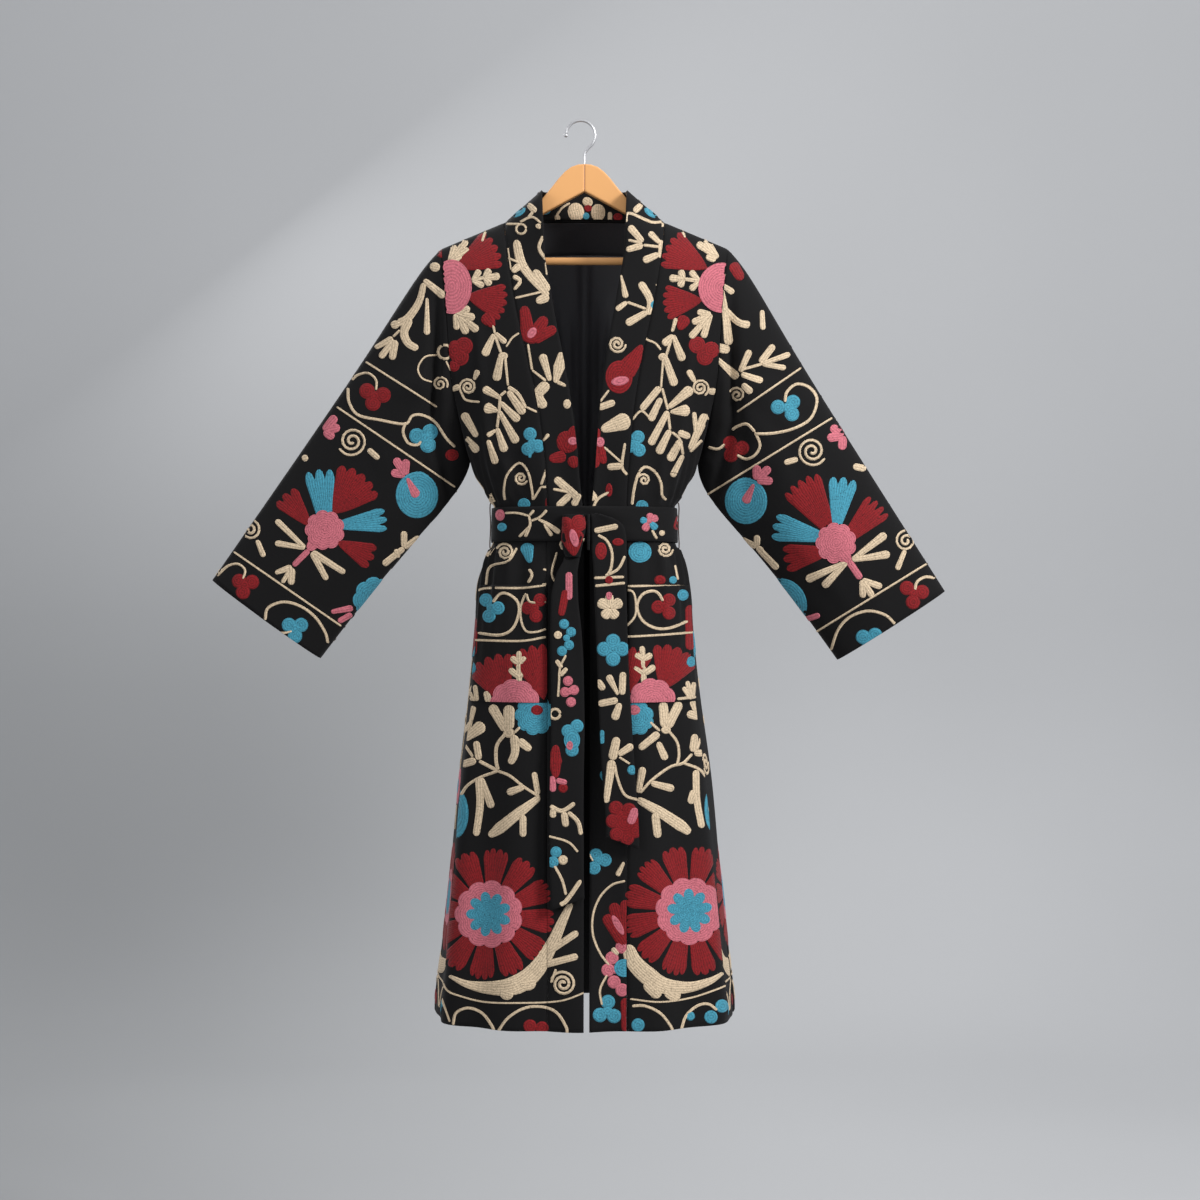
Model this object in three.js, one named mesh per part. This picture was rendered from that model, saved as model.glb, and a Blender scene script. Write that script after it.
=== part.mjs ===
import * as THREE from 'three';

// A long hand-embroidered coat with a front band, wide sleeves, patch pockets and a tied belt,
// hanging open at the neck on a wooden hanger.
// Millimetres, +Z up, the coat's front faces -Y, and the origin is the inner top of the hook.

// Driving sizes
const CLOTH = 2.0; // thickness of the lined cloth wall
const GAP = 0.2; // half of the space left at a seam
const LIFT = 0.35; // space under a piece that lies on another
const HEM_Z = -1290;
const ARMPIT_Z = -486;
const NECK_POINT = { x: 115, z: -146 }; // where the band's seam crosses the shoulder line
const SHOULDER_POINT = { x: 206, z: -184 };
const BACK_NECK = { y: 58, z: -133 }; // the neck seam at the middle of the back
const MIDDLE_X = 5.5; // the coat's middle hangs this far to the right of the hook's top
const ARM_DEPTH = 56; // half depth of the armhole
const OPENING_SHIFT = 4; // the front opening hangs this far to the right of the middle
const ARMPIT_ROW = 0.3; // share of a panel's length that is above the armpit
const PANEL_COLUMNS = 14; // from the band's seam to the side seam

// The body at each height: half width, depth of front and back, the front edge and the band's
// seam, the depth of the hollow between the fronts, and the height of waist gathers and of flutes.
const LEVELS = [
  { z: -96, wide: 206, front: 70, back: 74, edge: 64, seam: 116, hollow: 0, gather: 0, flute: 0 },
  { z: -150, wide: 206, front: 74, back: 78, edge: 61, seam: 114, hollow: 0, gather: 0, flute: 0 },
  { z: -210, wide: 200, front: 80, back: 84, edge: 53, seam: 106, hollow: 0, gather: 0, flute: 0 },
  { z: -274, wide: 196, front: 85, back: 88, edge: 44, seam: 97, hollow: 0, gather: 0, flute: 0 },
  { z: -361, wide: 191, front: 91, back: 91, edge: 28, seam: 79, hollow: 0, gather: 0, flute: 0 },
  { z: -426, wide: 181, front: 94, back: 91, edge: 19, seam: 67, hollow: 0, gather: 0.6, flute: 0 },
  { z: -486, wide: 166, front: 95, back: 91, edge: 13, seam: 60, hollow: 1, gather: 2.0, flute: 0 },
  { z: -519, wide: 152, front: 95, back: 91, edge: 11, seam: 57, hollow: 3, gather: 3.2, flute: 0 },
  { z: -545, wide: 137, front: 94, back: 90, edge: 8, seam: 56, hollow: 4, gather: 2.6, flute: 0 },
  { z: -562, wide: 130, front: 93, back: 89, edge: 6, seam: 56, hollow: 2, gather: 0.8, flute: 0 },
  { z: -610, wide: 131, front: 93, back: 89, edge: 5, seam: 56, hollow: 2, gather: 0.8, flute: 0 },
  { z: -632, wide: 141, front: 97, back: 93, edge: 4, seam: 56, hollow: 12, gather: 3.4, flute: 0 },
  { z: -672, wide: 151, front: 104, back: 101, edge: 4, seam: 56, hollow: 24, gather: 3.0, flute: 0 },
  { z: -740, wide: 158, front: 111, back: 109, edge: 4, seam: 56, hollow: 28, gather: 1.6, flute: 1 },
  { z: -837, wide: 168, front: 119, back: 118, edge: 4, seam: 56, hollow: 26, gather: 0.4, flute: 2 },
  { z: -960, wide: 184, front: 128, back: 128, edge: 4, seam: 56, hollow: 19, gather: 0, flute: 3 },
  { z: -1099, wide: 197, front: 137, back: 138, edge: 4, seam: 56, hollow: 11, gather: 0, flute: 4 },
  { z: -1200, wide: 207, front: 144, back: 146, edge: 4, seam: 56, hollow: 5, gather: 0, flute: 4.5 },
  { z: -1290, wide: 215.5, front: 150, back: 153, edge: 4, seam: 56, hollow: 2, gather: 0, flute: 5 },
];
const GATHER_WAVES = 14; // round the whole waist
const FLUTE_WAVES = 11; // round the whole hem

// Rows of every body panel: rise is the share of the height between armpit and shoulder line.
const RISES = [1, 0.985, 0.945, 0.85, 0.74, 0.61, 0.48, 0.35, 0.22, 0.11, 0.035, 0];
const LOWER_ROWS = [
  -504, -524, -545, -562, -586, -610, -632, -652, -672, -720, -778, -837, -906, -982, -1062,
  -1142, -1220, -1290,
];
const POCKET = { top: -672, bottom: -837, columns: 11, thick: 1.6, hem: 0.6 };

// The collar's free edge, from the shoulder line to where it lies flat on the chest
const COLLAR_EDGE = [
  { rise: 1, x: 62, y: 2, z: -98.5 },
  { rise: 0.985, x: 61.8, y: -20, z: -103.5 },
  { rise: 0.95, x: 61, y: -40, z: -119 },
  { rise: 0.885, x: 58.6, y: -62, z: -160 },
];
const COLLAR_BACK = { y: 73, z: -84 }; // free edge at the middle of the back
const BAND_COLUMNS = 3;

const CUFFS = {
  left: { top: { x: 539, z: -664 }, under: { x: 383, z: -777 }, sag: 13 },
  right: { top: { x: 522, z: -680 }, under: { x: 367, z: -779 }, sag: 19 },
};
const CUFF_DEPTH = 34;
// The sleeve's head stands out over the shoulder, and its underside sags beside the armpit.
const CROWN = { high: 6, at: 0.1 };
const SAG_AT = 0.17;
const SLEEVE_ROWS = 11;
// Sleeve creases that run from the armpit: start and end share of the length, the angle round
// the sleeve from its top, how far it turns along the way, half width of the fold and height.
const CREASES = [
  { from: 0, to: 0.42, around: 128, turn: -38, spread: 13, high: 5.5 },
  { from: 0, to: 0.34, around: 152, turn: -22, spread: 9, high: -4.0 },
  { from: 0.05, to: 0.6, around: 84, turn: 26, spread: 18, high: 2.6 },
  { from: 0.3, to: 1.05, around: 118, turn: -20, spread: 20, high: 2.4 },
  { from: 0, to: 0.4, around: 226, turn: 34, spread: 14, high: 4.6 },
  { from: 0.2, to: 0.9, around: 268, turn: -24, spread: 20, high: 2.8 },
];

const BELT = { top: -561, bottom: -610, thick: 2.4, off: 1.6, columns: 44 };
const KNOTS = [
  { name: 'belt_knot', x: -15, z: -603, wide: 36, tall: 60, deep: 17, taper: 0.3, lean: 1.5 },
  { name: 'belt_knot_side', x: 6.1, z: -598, wide: 5, tall: 50, deep: 10, taper: 0.1, lean: 0 },
];
const CARRIER = { top: -553, bottom: -619, off: 4.8, radius: 0.9 };

// Both belt ends: the two edges of the tape at each height, and its height off the skirt
const TAIL_LEFT = [
  { z: -633.35, from: -28, to: -6, off: 2.6 },
  { z: -655, from: -38, to: -9, off: 4 },
  { z: -690, from: -46, to: -8, off: 3.2 },
  { z: -740, from: -47, to: -3, off: 2.4 },
  { z: -800, from: -46, to: 0, off: 1.8 },
  { z: -870, from: -46, to: 1, off: 1.8 },
  { z: -940, from: -47, to: 0, off: 1.8 },
  { z: -1010, from: -48, to: -1, off: 1.8 },
  { z: -1070, from: -47, to: 0, off: 1.8 },
  { z: -1114, from: -46, to: 1, off: 1.8 },
];
const TAIL_RIGHT = [
  { z: -572, from: 10, to: 22, off: 5.4 },
  { z: -579, from: 9.2, to: 44, off: 5.2 },
  { z: -592, from: 8.9, to: 57, off: 5.0 },
  { z: -614, from: 10, to: 60, off: 5.0 },
  { z: -650, from: 13, to: 59, off: 4.0 },
  { z: -700, from: 15, to: 60, off: 2.6 },
  { z: -770, from: 18, to: 62, off: 2.0 },
  { z: -850, from: 21, to: 66, off: 1.8 },
  { z: -930, from: 25, to: 71, off: 1.8 },
  { z: -1030, from: 31, to: 77, off: 1.8 },
];
const TAIL_SLANT = { left: 16, right: -17 }; // slope of the cut end across the tape
const TAIL_COLUMNS = 4;
const TAPE = 2.2;

const HANGER = { thick: 14, bar: 5.5, barZ: -202, barHalf: 176.3, under: 3.7 };
const HOOK = { radius: 21.2, wire: 1.9, ball: 2.9, turn: 172 };

// Colours
const INK = '#1c1a1b';
const finish = (color, rough, metal = 0) =>
  new THREE.MeshStandardMaterial({ color, roughness: rough, metalness: metal });

const V = (x, y, z) => new THREE.Vector3(x, y, z);
const lerp = (a, b, t) => a + (b - a) * t;
const smooth = (t) => {
  const s = Math.min(1, Math.max(0, t));
  return s * s * (3 - 2 * s);
};

/** Smooth reading of one named column of a table whose key falls from row to row. */
function read(table, key, column, at) {
  const last = table.length - 1;
  if (at >= table[0][key]) return table[0][column];
  if (at <= table[last][key]) return table[last][column];
  let i = 0;
  while (table[i + 1][key] > at) i += 1;
  const slope = (k) => {
    if (k === 0 || k === last) return 0;
    const before = (table[k][column] - table[k - 1][column]) / (table[k][key] - table[k - 1][key]);
    const after = (table[k + 1][column] - table[k][column]) / (table[k + 1][key] - table[k][key]);
    return before * after <= 0 ? 0 : (2 * before * after) / (before + after);
  };
  const [a, b] = [table[i], table[i + 1]];
  const span = b[key] - a[key];
  const t = (at - a[key]) / span;
  const h = t * t * (3 - 2 * t);
  return (
    a[column] * (1 - h) +
    b[column] * h +
    span * (slope(i) * t * (1 - t) * (1 - t) - slope(i + 1) * t * t * (1 - t))
  );
}
const level = (column, z) => read(LEVELS, 'z', column, z);

const shoulderLine = (x) =>
  NECK_POINT.z +
  ((Math.abs(x) - NECK_POINT.x) * (SHOULDER_POINT.z - NECK_POINT.z)) /
    (SHOULDER_POINT.x - NECK_POINT.x);
const NECK_ANGLE = Math.asin(NECK_POINT.x / SHOULDER_POINT.x);
const armOpen = (rise) => ARM_DEPTH * Math.sin(Math.min(1, rise / 0.46) * Math.PI * 0.5) ** 0.8;
const shoulderRound = (rise) => Math.max(0, 1 - rise ** 4) ** 0.5;
const sideCurve = (rise) => 0.7 + 1.1 * smooth(rise / 0.4);

/** Height share above the armpit of a panel row, or null under the armpit. */
const riseOf = (row) => (row < ARMPIT_ROW ? 1 - row / ARMPIT_ROW : null);
const heightOf = (row) => lerp(ARMPIT_Z, HEM_Z, (row - ARMPIT_ROW) / (1 - ARMPIT_ROW));
const rowAtRise = (rise) => (1 - rise) * ARMPIT_ROW;
const rowAtHeight = (z) => lerp(ARMPIT_ROW, 1, (z - ARMPIT_Z) / (HEM_Z - ARMPIT_Z));
const ROWS = [...RISES.map(rowAtRise), ...LOWER_ROWS.map(rowAtHeight)];

/** Depth of the front (face -1) or back (face 1) at an angle from the middle and a height. */
function depth(face, angle, z, rise, side) {
  const full = level(face < 0 ? 'front' : 'back', z);
  const open = rise === null ? 0 : armOpen(rise);
  const power = sideCurve(rise === null ? 0 : rise);
  return open + (full - open) * Math.max(0, Math.cos(angle)) ** power;
}

/** Waist gathers and hem flutes as an outward push, round the body by angle. */
function waves(face, angle, side, z) {
  const turn = side * (face < 0 ? angle : Math.PI - angle);
  const gather = level('gather', z) * Math.cos(GATHER_WAVES * turn + 0.6 * Math.sin(3 * turn));
  const slip = 0.9 * Math.sin(2 * turn) + 0.5 * Math.cos(turn);
  const flute = level('flute', z) * Math.cos(FLUTE_WAVES * turn + slip);
  return gather + flute;
}

/** A point of the body: face, side, angle from the middle, height and the rise over the armpit. */
function body(face, side, angle, z, rise) {
  const wide = level('wide', z);
  const out = waves(face, angle, side, z) * (rise === null ? 1 : 1 - rise);
  const x = (wide + out) * Math.sin(angle);
  let y = depth(face, angle, z, rise, side) + out * Math.cos(angle);
  if (face < 0) {
    const off = side * x - OPENING_SHIFT;
    y -= level('hollow', z) * Math.exp(-((off / 36) ** 2));
  }
  return V(side * x, face * y, z);
}

/** Front panel point: side, column 0 at the band's seam and 1 at the side seam, row 0 at the top. */
function frontPoint(side, column, row) {
  const rise = riseOf(row);
  const inner = (z) => (level('seam', z) + side * OPENING_SHIFT * smooth((-300 - z) / 200));
  if (rise === null) {
    const z = heightOf(row);
    const start = Math.asin(inner(z) / level('wide', z));
    return body(-1, side, lerp(start, Math.PI / 2, column), z, null);
  }
  const topX = SHOULDER_POINT.x * Math.sin(lerp(NECK_ANGLE, Math.PI / 2, column));
  const z = lerp(ARMPIT_Z, shoulderLine(topX), rise);
  const start = Math.asin(inner(z) / level('wide', z));
  const p = body(-1, side, lerp(start, Math.PI / 2, column), z, rise);
  p.x = lerp(p.x, side * topX, rise ** 6);
  p.y *= shoulderRound(rise);
  return p;
}

/** Back panel point: column from -1 at one side seam to 1 at the other. */
function backPoint(column, row) {
  const rise = riseOf(row);
  const side = column < 0 ? -1 : 1;
  const angle = (Math.abs(column) * Math.PI) / 2;
  if (rise === null) return body(1, side, angle, heightOf(row), null);
  const neck = angle < NECK_ANGLE;
  const turn = (angle / NECK_ANGLE) * (Math.PI / 2);
  const topX = neck ? NECK_POINT.x * Math.sin(turn) : SHOULDER_POINT.x * Math.sin(angle);
  const topY = neck ? BACK_NECK.y * Math.cos(turn) : 0;
  const topZ = neck ? lerp(NECK_POINT.z, BACK_NECK.z, Math.cos(turn)) : shoulderLine(topX);
  const z = lerp(ARMPIT_Z, topZ, rise);
  const p = body(1, side, angle, z, rise);
  p.x = lerp(p.x, side * topX, rise ** 6);
  p.y = lerp(topY, p.y, shoulderRound(rise));
  return p;
}

/** Outward direction of a surface, worked out from near points. */
function outward(point, a, b, away) {
  const e = 1e-4;
  const da = point(a + e, b).sub(point(a - e, b));
  const db = point(a, b + e).sub(point(a, b - e));
  const n = da.cross(db).normalize();
  return n.dot(away) < 0 ? n.negate() : n;
}
const frontNormal = (side, column, row) => {
  const c = Math.min(1 - 2e-4, Math.max(2e-4, column));
  const r = Math.min(1 - 2e-4, Math.max(2e-4, row));
  return outward((a, b) => frontPoint(side, a, b), c, r, V(side * 0.3, -1, 0.2));
};
const backNormal = (column, row) => {
  const c = Math.sign(column) * Math.min(1 - 2e-4, Math.abs(column));
  const r = Math.min(1 - 2e-4, Math.max(2e-4, row));
  return outward(backPoint, c, r, V(Math.sign(column) * 0.3, 1, 0.2));
};

/** Sleeve point: angle round it from its top, through the front, and share of its length. */
function sleevePoint(side, angle, along) {
  const turn = ((angle % (2 * Math.PI)) + 2 * Math.PI) % (2 * Math.PI);
  const face = turn <= Math.PI ? -1 : 1;
  const rise = (1 + Math.cos(turn)) / 2;
  const arm = face < 0 ? frontPoint(side, 1, rowAtRise(rise)) : backPoint(side, rowAtRise(rise));
  const { top, under, sag } = side < 0 ? CUFFS.left : CUFFS.right;
  const share = (1 + Math.cos(turn)) / 2;
  const deep = -CUFF_DEPTH * Math.sign(Math.sin(turn)) * Math.abs(Math.sin(turn)) ** 0.85;
  const cuff = V(side * lerp(under.x, top.x, share), deep, lerp(under.z, top.z, share));
  const p = arm.lerp(cuff, along);
  const bulge = ({ high, at }, facing) =>
    high * Math.max(0, facing) ** 2 * (along / at) * Math.exp(1 - along / at);
  const off = bulge(CROWN, Math.cos(turn)) - bulge({ high: sag, at: SAG_AT }, -Math.cos(turn));
  p.add(V(side * 0.82 * off, 0, 0.57 * off));
  let push = 0;
  for (const c of CREASES) {
    const share = (along - c.from) / (c.to - c.from);
    const middle = c.around + c.turn * share;
    const away = ((turn * 180) / Math.PI - middle) / c.spread;
    const fade = Math.sin(Math.PI * Math.min(1, Math.max(0, share))) ** 0.8;
    push += c.high * fade * Math.exp(-away * away) * smooth(along / 0.12);
  }
  p.y += Math.sign(p.y) * push;
  return p;
}
function sleeveAxis(side) {
  const { top } = side < 0 ? CUFFS.left : CUFFS.right;
  return V(side * (top.x - SHOULDER_POINT.x), 0, top.z - SHOULDER_POINT.z).normalize();
}
function sleeveNormal(side, angle, along) {
  const a = Math.min(1 - 2e-4, Math.max(2e-4, along));
  const centre = V(0, 0, 0);
  for (let k = 0; k < 8; k += 1) {
    centre.addScaledVector(sleevePoint(side, (k * Math.PI) / 4 + 0.01, a), 1 / 8);
  }
  const away = sleevePoint(side, angle, a).sub(centre);
  away.addScaledVector(sleeveAxis(side), -away.dot(sleeveAxis(side)));
  return outward((p, q) => sleevePoint(side, p, q), angle, a, away);
}

/** The armhole seam at an angle: its point, shared outward direction and the way to the sleeve. */
function armhole(side, angle) {
  const rise = (1 + Math.cos(angle)) / 2;
  const point = sleevePoint(side, angle, 0);
  const front = frontNormal(side, 1, rowAtRise(rise));
  const back = backNormal(side, rowAtRise(rise));
  const face = angle < 1e-6 || Math.abs(angle - Math.PI) < 1e-6 ? 0 : angle < Math.PI ? -1 : 1;
  let ours = face < 0 ? front : back;
  if (face === 0) ours = front.clone().add(back);
  if (Math.abs(angle - Math.PI) < 1e-6) ours = V(side, 0, 0.1);
  ours.normalize();
  const sleeve = sleeveNormal(side, face === 0 ? angle + 1e-3 : angle, 0.01);
  if (face === 0) sleeve.setY(0).normalize();
  const normal = ours.add(sleeve).normalize();
  const next = sleevePoint(side, angle + 1e-3, 0).sub(sleevePoint(side, angle - 1e-3, 0));
  const way = normal.clone().cross(next).normalize();
  if (way.dot(sleeveAxis(side)) < 0) way.negate();
  return { point, normal, way };
}
const ARM_ANGLES = RISES.map((rise) => Math.acos(2 * rise - 1));

/** Free edge of the band beside a panel row. */
function bandEdge(side, row) {
  const rise = riseOf(row);
  const seam = frontPoint(side, 0, row);
  const lowest = COLLAR_EDGE[COLLAR_EDGE.length - 1];
  const flat = (z) => {
    const shift = side * OPENING_SHIFT * smooth((-300 - z) / 200);
    const angle = Math.asin((level('edge', z) + shift) / level('wide', z));
    const p = body(-1, side, angle, z, rise);
    if (rise !== null) p.y *= shoulderRound(rise);
    return p;
  };
  if (rise === null || rise < 0.66) return flat(seam.z);
  const table = [...COLLAR_EDGE, { rise: 0.66, x: 0, y: 0, z: 0 }];
  const base = flat(seam.z);
  Object.assign(table[table.length - 1], {
    x: Math.abs(flat(frontPoint(side, 0, rowAtRise(0.66)).z).x),
    y: bandEdge(side, rowAtRise(0.6599)).y,
    z: frontPoint(side, 0, rowAtRise(0.66)).z,
  });
  if (rise < 0.885) {
    const t = smooth((rise - 0.66) / (0.885 - 0.66));
    return V(lerp(base.x, side * lowest.x, t), lerp(base.y, lowest.y, t),
      lerp(base.z, lowest.z + (seam.z - frontPoint(side, 0, rowAtRise(0.885)).z), t));
  }
  return V(side * read(table, 'rise', 'x', rise), read(table, 'rise', 'y', rise),
    read(table, 'rise', 'z', rise));
}
/** Band point: column 0 at the seam, 1 at the free edge. */
function bandPoint(side, column, row) {
  const seam = frontPoint(side, 0, row);
  const edge = bandEdge(side, row);
  const rise = riseOf(row);
  const p = seam.clone().lerp(edge, column);
  if (rise === null || rise < 0.66) {
    const angle = Math.asin((side * p.x) / level('wide', p.z));
    const q = body(-1, side, angle, p.z, rise);
    p.y = q.y * (rise === null ? 1 : shoulderRound(rise));
  }
  return p;
}
const bandNormal = (side, column, row) =>
  outward((a, b) => bandPoint(side, a, b), column, Math.min(1 - 2e-4, Math.max(2e-4, row)),
    V(side * 0.4, -1, 0.3));

/** Back collar point: column 0 at the seam, 1 at the free edge, turn -1 to 1 round the neck. */
function collarPoint(column, turn) {
  const angle = (turn * Math.PI) / 2;
  const seamZ = lerp(NECK_POINT.z, BACK_NECK.z, Math.cos(angle));
  const seam = V(NECK_POINT.x * Math.sin(angle), BACK_NECK.y * Math.cos(angle), seamZ);
  const side = COLLAR_EDGE[0];
  const edge = V(side.x * Math.sin(angle), lerp(side.y, COLLAR_BACK.y, Math.cos(angle)),
    lerp(side.z, COLLAR_BACK.z, Math.cos(angle) ** 2));
  const p = seam.lerp(edge, column);
  const bow = 5 * Math.sin(Math.PI * column) * Math.cos(angle);
  return p.add(V(0, bow, 0));
}
const collarNormal = (column, turn) => {
  const angle = (turn * Math.PI) / 2;
  return outward(collarPoint, column, turn, V(Math.sin(angle), Math.cos(angle), 0.8));
};

/** A closed wall from a grid of {p, n}: the outer face, the inner face and its rims. */
function wall(name, grid, thick, material, { loop = false, under = 0 } = {}) {
  const rows = grid.length;
  const columns = grid[0].length;
  const points = [];
  for (const depthIn of [0, 1]) {
    for (const line of grid) {
      for (const { p, n, t = thick } of line) {
        points.push(p.clone().addScaledVector(n, under ? under + (1 - depthIn) * t : -depthIn * t));
      }
    }
  }
  const at = (layer, i, j) => layer * rows * columns + i * columns + (j % columns);
  const faces = [];
  const quad = (a, b, c, d) => faces.push([a, b, c], [a, c, d]);
  const across = loop ? columns : columns - 1;
  for (let i = 0; i < rows - 1; i += 1) {
    for (let j = 0; j < across; j += 1) {
      quad(at(0, i, j), at(0, i, j + 1), at(0, i + 1, j + 1), at(0, i + 1, j));
      quad(at(1, i, j), at(1, i + 1, j), at(1, i + 1, j + 1), at(1, i, j + 1));
    }
  }
  for (let j = 0; j < across; j += 1) {
    quad(at(0, 0, j + 1), at(0, 0, j), at(1, 0, j), at(1, 0, j + 1));
    quad(at(0, rows - 1, j), at(0, rows - 1, j + 1), at(1, rows - 1, j + 1), at(1, rows - 1, j));
  }
  if (!loop) {
    for (let i = 0; i < rows - 1; i += 1) {
      quad(at(0, i, 0), at(0, i + 1, 0), at(1, i + 1, 0), at(1, i, 0));
      quad(at(0, i + 1, across), at(0, i, across), at(1, i, across), at(1, i + 1, across));
    }
  }
  return solid(name, points, faces, material);
}

/** A mesh from points and triangles, turned so that its faces look out. */
function solid(name, points, faces, material) {
  let volume = 0;
  for (const [a, b, c] of faces) {
    volume += points[a].dot(points[b].clone().cross(points[c])) / 6;
  }
  const index = volume < 0 ? faces.map(([a, b, c]) => [a, c, b]) : faces;
  const geometry = new THREE.BufferGeometry();
  geometry.setAttribute('position',
    new THREE.Float32BufferAttribute(points.flatMap((p) => [p.x, p.y, p.z]), 3));
  geometry.setIndex(index.flat());
  geometry.computeVertexNormals();
  const mesh = new THREE.Mesh(geometry, material);
  mesh.name = name;
  return mesh;
}

const group = new THREE.Group();
const cloth = () => finish(INK, 0.85);

// Seam directions shared by the pieces on both sides of a seam
const sideNormal = (side, row) => {
  const z = heightOf(Math.max(row, ARMPIT_ROW));
  const slope = (level('wide', z + 2) - level('wide', z - 2)) / 4;
  return V(side, 0, -slope).normalize();
};
const ridgeNormal = (side) =>
  V(side * (NECK_POINT.z - SHOULDER_POINT.z), 0, SHOULDER_POINT.x - NECK_POINT.x).normalize();
const bandSeamNormal = (side, row) =>
  frontNormal(side, 0, row).add(bandNormal(side, 0.001, row)).normalize();
function neckSeam(turn) {
  const column = (turn * NECK_ANGLE) / (Math.PI / 2);
  const normal = backNormal(column, 2e-3).add(collarNormal(0.001, turn)).normalize();
  const along = collarPoint(0, turn + 1e-3).sub(collarPoint(0, turn - 1e-3));
  const way = normal.clone().cross(along).normalize();
  return { normal, way: way.z < 0 ? way.negate() : way };
}
const neckCornerNormal = (side) =>
  ridgeNormal(side).add(bandNormal(side, 0.01, 2e-3).setY(0).normalize()).normalize();

/** Puts the right shared direction and the seam's gap on one vertex of a body panel. */
function seamed(face, side, column, row, p, n) {
  const rise = riseOf(row);
  const top = row < 1e-9;
  const outer = column > 1 - 1e-9;
  const inner = face < 0 && column < 1e-9;
  let normal = n;
  if (top) normal = ridgeNormal(side);
  if (inner) normal = top ? neckCornerNormal(side) : bandSeamNormal(side, row);
  if (outer && rise === null) normal = sideNormal(side, row);
  if (outer && (rise !== null || Math.abs(row - ARMPIT_ROW) < 1e-9)) {
    const angle = Math.acos(2 * (rise ?? 0) - 1);
    const seam = armhole(side, face < 0 ? angle : 2 * Math.PI - angle);
    normal = seam.normal;
    p.addScaledVector(seam.way, -GAP);
  }
  if (top || (outer && (rise === null || row > ARMPIT_ROW - 1e-9))) p.y += face * GAP;
  if (inner) p.x += side * GAP;
  return { p, n: normal };
}

const frontGrids = {};
for (const side of [-1, 1]) {
  const grid = ROWS.map((row) =>
    Array.from({ length: PANEL_COLUMNS + 1 }, (_, k) => {
      const column = k / PANEL_COLUMNS;
      return seamed(-1, side, column, row, frontPoint(side, column, row),
        frontNormal(side, column, row));
    }));
  frontGrids[side] = grid;
  group.add(wall(side < 0 ? 'front_left' : 'front_right', grid, CLOTH, cloth()));
}

// Back columns: the neck's share is cut so that one column meets the corner of the neck.
const NECK_COLUMNS = 5;
const backColumns = [];
const neckShare = NECK_ANGLE / (Math.PI / 2);
for (let k = -NECK_COLUMNS; k <= NECK_COLUMNS; k += 1) {
  backColumns.push((neckShare * k) / NECK_COLUMNS);
}
const SIDE_COLUMNS = 9;
for (let k = 1; k <= SIDE_COLUMNS; k += 1) {
  backColumns.push(lerp(neckShare, 1, k / SIDE_COLUMNS));
  backColumns.unshift(-lerp(neckShare, 1, k / SIDE_COLUMNS));
}
const backGrid = ROWS.map((row) =>
  backColumns.map((column) => {
    const side = column < 0 ? -1 : 1;
    const p = backPoint(column, row);
    const n = backNormal(column, row);
    const inNeck = row < 1e-9 && Math.abs(column) < neckShare - 1e-9;
    if (inNeck) {
      const seam = neckSeam(column / neckShare);
      return { p: p.addScaledVector(seam.way, -GAP), n: seam.normal };
    }
    const atCorner = row < 1e-9 && Math.abs(Math.abs(column) - neckShare) < 1e-9;
    const fixed = seamed(1, side, Math.abs(column), row, p, n);
    if (atCorner) fixed.n = neckCornerNormal(side);
    if (atCorner) fixed.p.x += side * GAP;
    return fixed;
  }));
group.add(wall('back', backGrid, CLOTH, cloth()));

for (const side of [-1, 1]) {
  const angles = [...ARM_ANGLES, ...ARM_ANGLES.slice(1, -1).map((a) => 2 * Math.PI - a).reverse()];
  const grid = Array.from({ length: SLEEVE_ROWS + 1 }, (_, i) => {
    const along = (i / SLEEVE_ROWS) ** 1.15;
    return angles.map((angle) => {
      if (i > 0) return { p: sleevePoint(side, angle, along), n: sleeveNormal(side, angle, along) };
      const seam = armhole(side, angle);
      return { p: seam.point.addScaledVector(seam.way, GAP), n: seam.normal };
    });
  });
  group.add(wall(side < 0 ? 'sleeve_left' : 'sleeve_right', grid, CLOTH, cloth(), { loop: true }));
}

for (const side of [-1, 1]) {
  const grid = ROWS.map((row, i) =>
    Array.from({ length: BAND_COLUMNS + 1 }, (_, k) => {
      const column = k / BAND_COLUMNS;
      const p = bandPoint(side, column, row);
      let n = bandNormal(side, Math.max(0.001, Math.min(0.999, column)), row);
      if (k === 0) {
        n = i === 0 ? neckCornerNormal(side) : bandSeamNormal(side, row);
        p.x -= side * GAP;
      }
      if (i === 0) {
        p.y -= GAP;
        if (k > 0) n.setY(0).normalize();
      }
      return { p, n };
    }));
  group.add(wall(side < 0 ? 'band_left' : 'band_right', grid, CLOTH, cloth()));
}
const COLLAR_TURNS = 2 * NECK_COLUMNS;
const collarGrid = Array.from({ length: COLLAR_TURNS + 1 }, (_, i) => {
  const turn = -1 + (2 * i) / COLLAR_TURNS;
  const end = i === 0 || i === COLLAR_TURNS;
  const side = Math.sign(turn);
  return Array.from({ length: BAND_COLUMNS + 1 }, (_, k) => {
    const column = k / BAND_COLUMNS;
    const p = collarPoint(column, turn);
    let n = collarNormal(Math.max(0.001, Math.min(0.999, column)), turn);
    if (end) n = bandNormal(side, Math.max(0.01, column), 2e-3).setY(0).normalize();
    if (k === 0 && end) n = neckCornerNormal(side);
    if (k === 0 && !end) {
      const seam = neckSeam(turn);
      n = seam.normal;
      p.addScaledVector(seam.way, GAP);
    }
    if (k === 0 && end) p.x -= side * GAP;
    if (end) p.y += GAP;
    return { p, n };
  });
});
group.add(wall('collar_back', collarGrid, CLOTH, cloth()));

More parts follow.
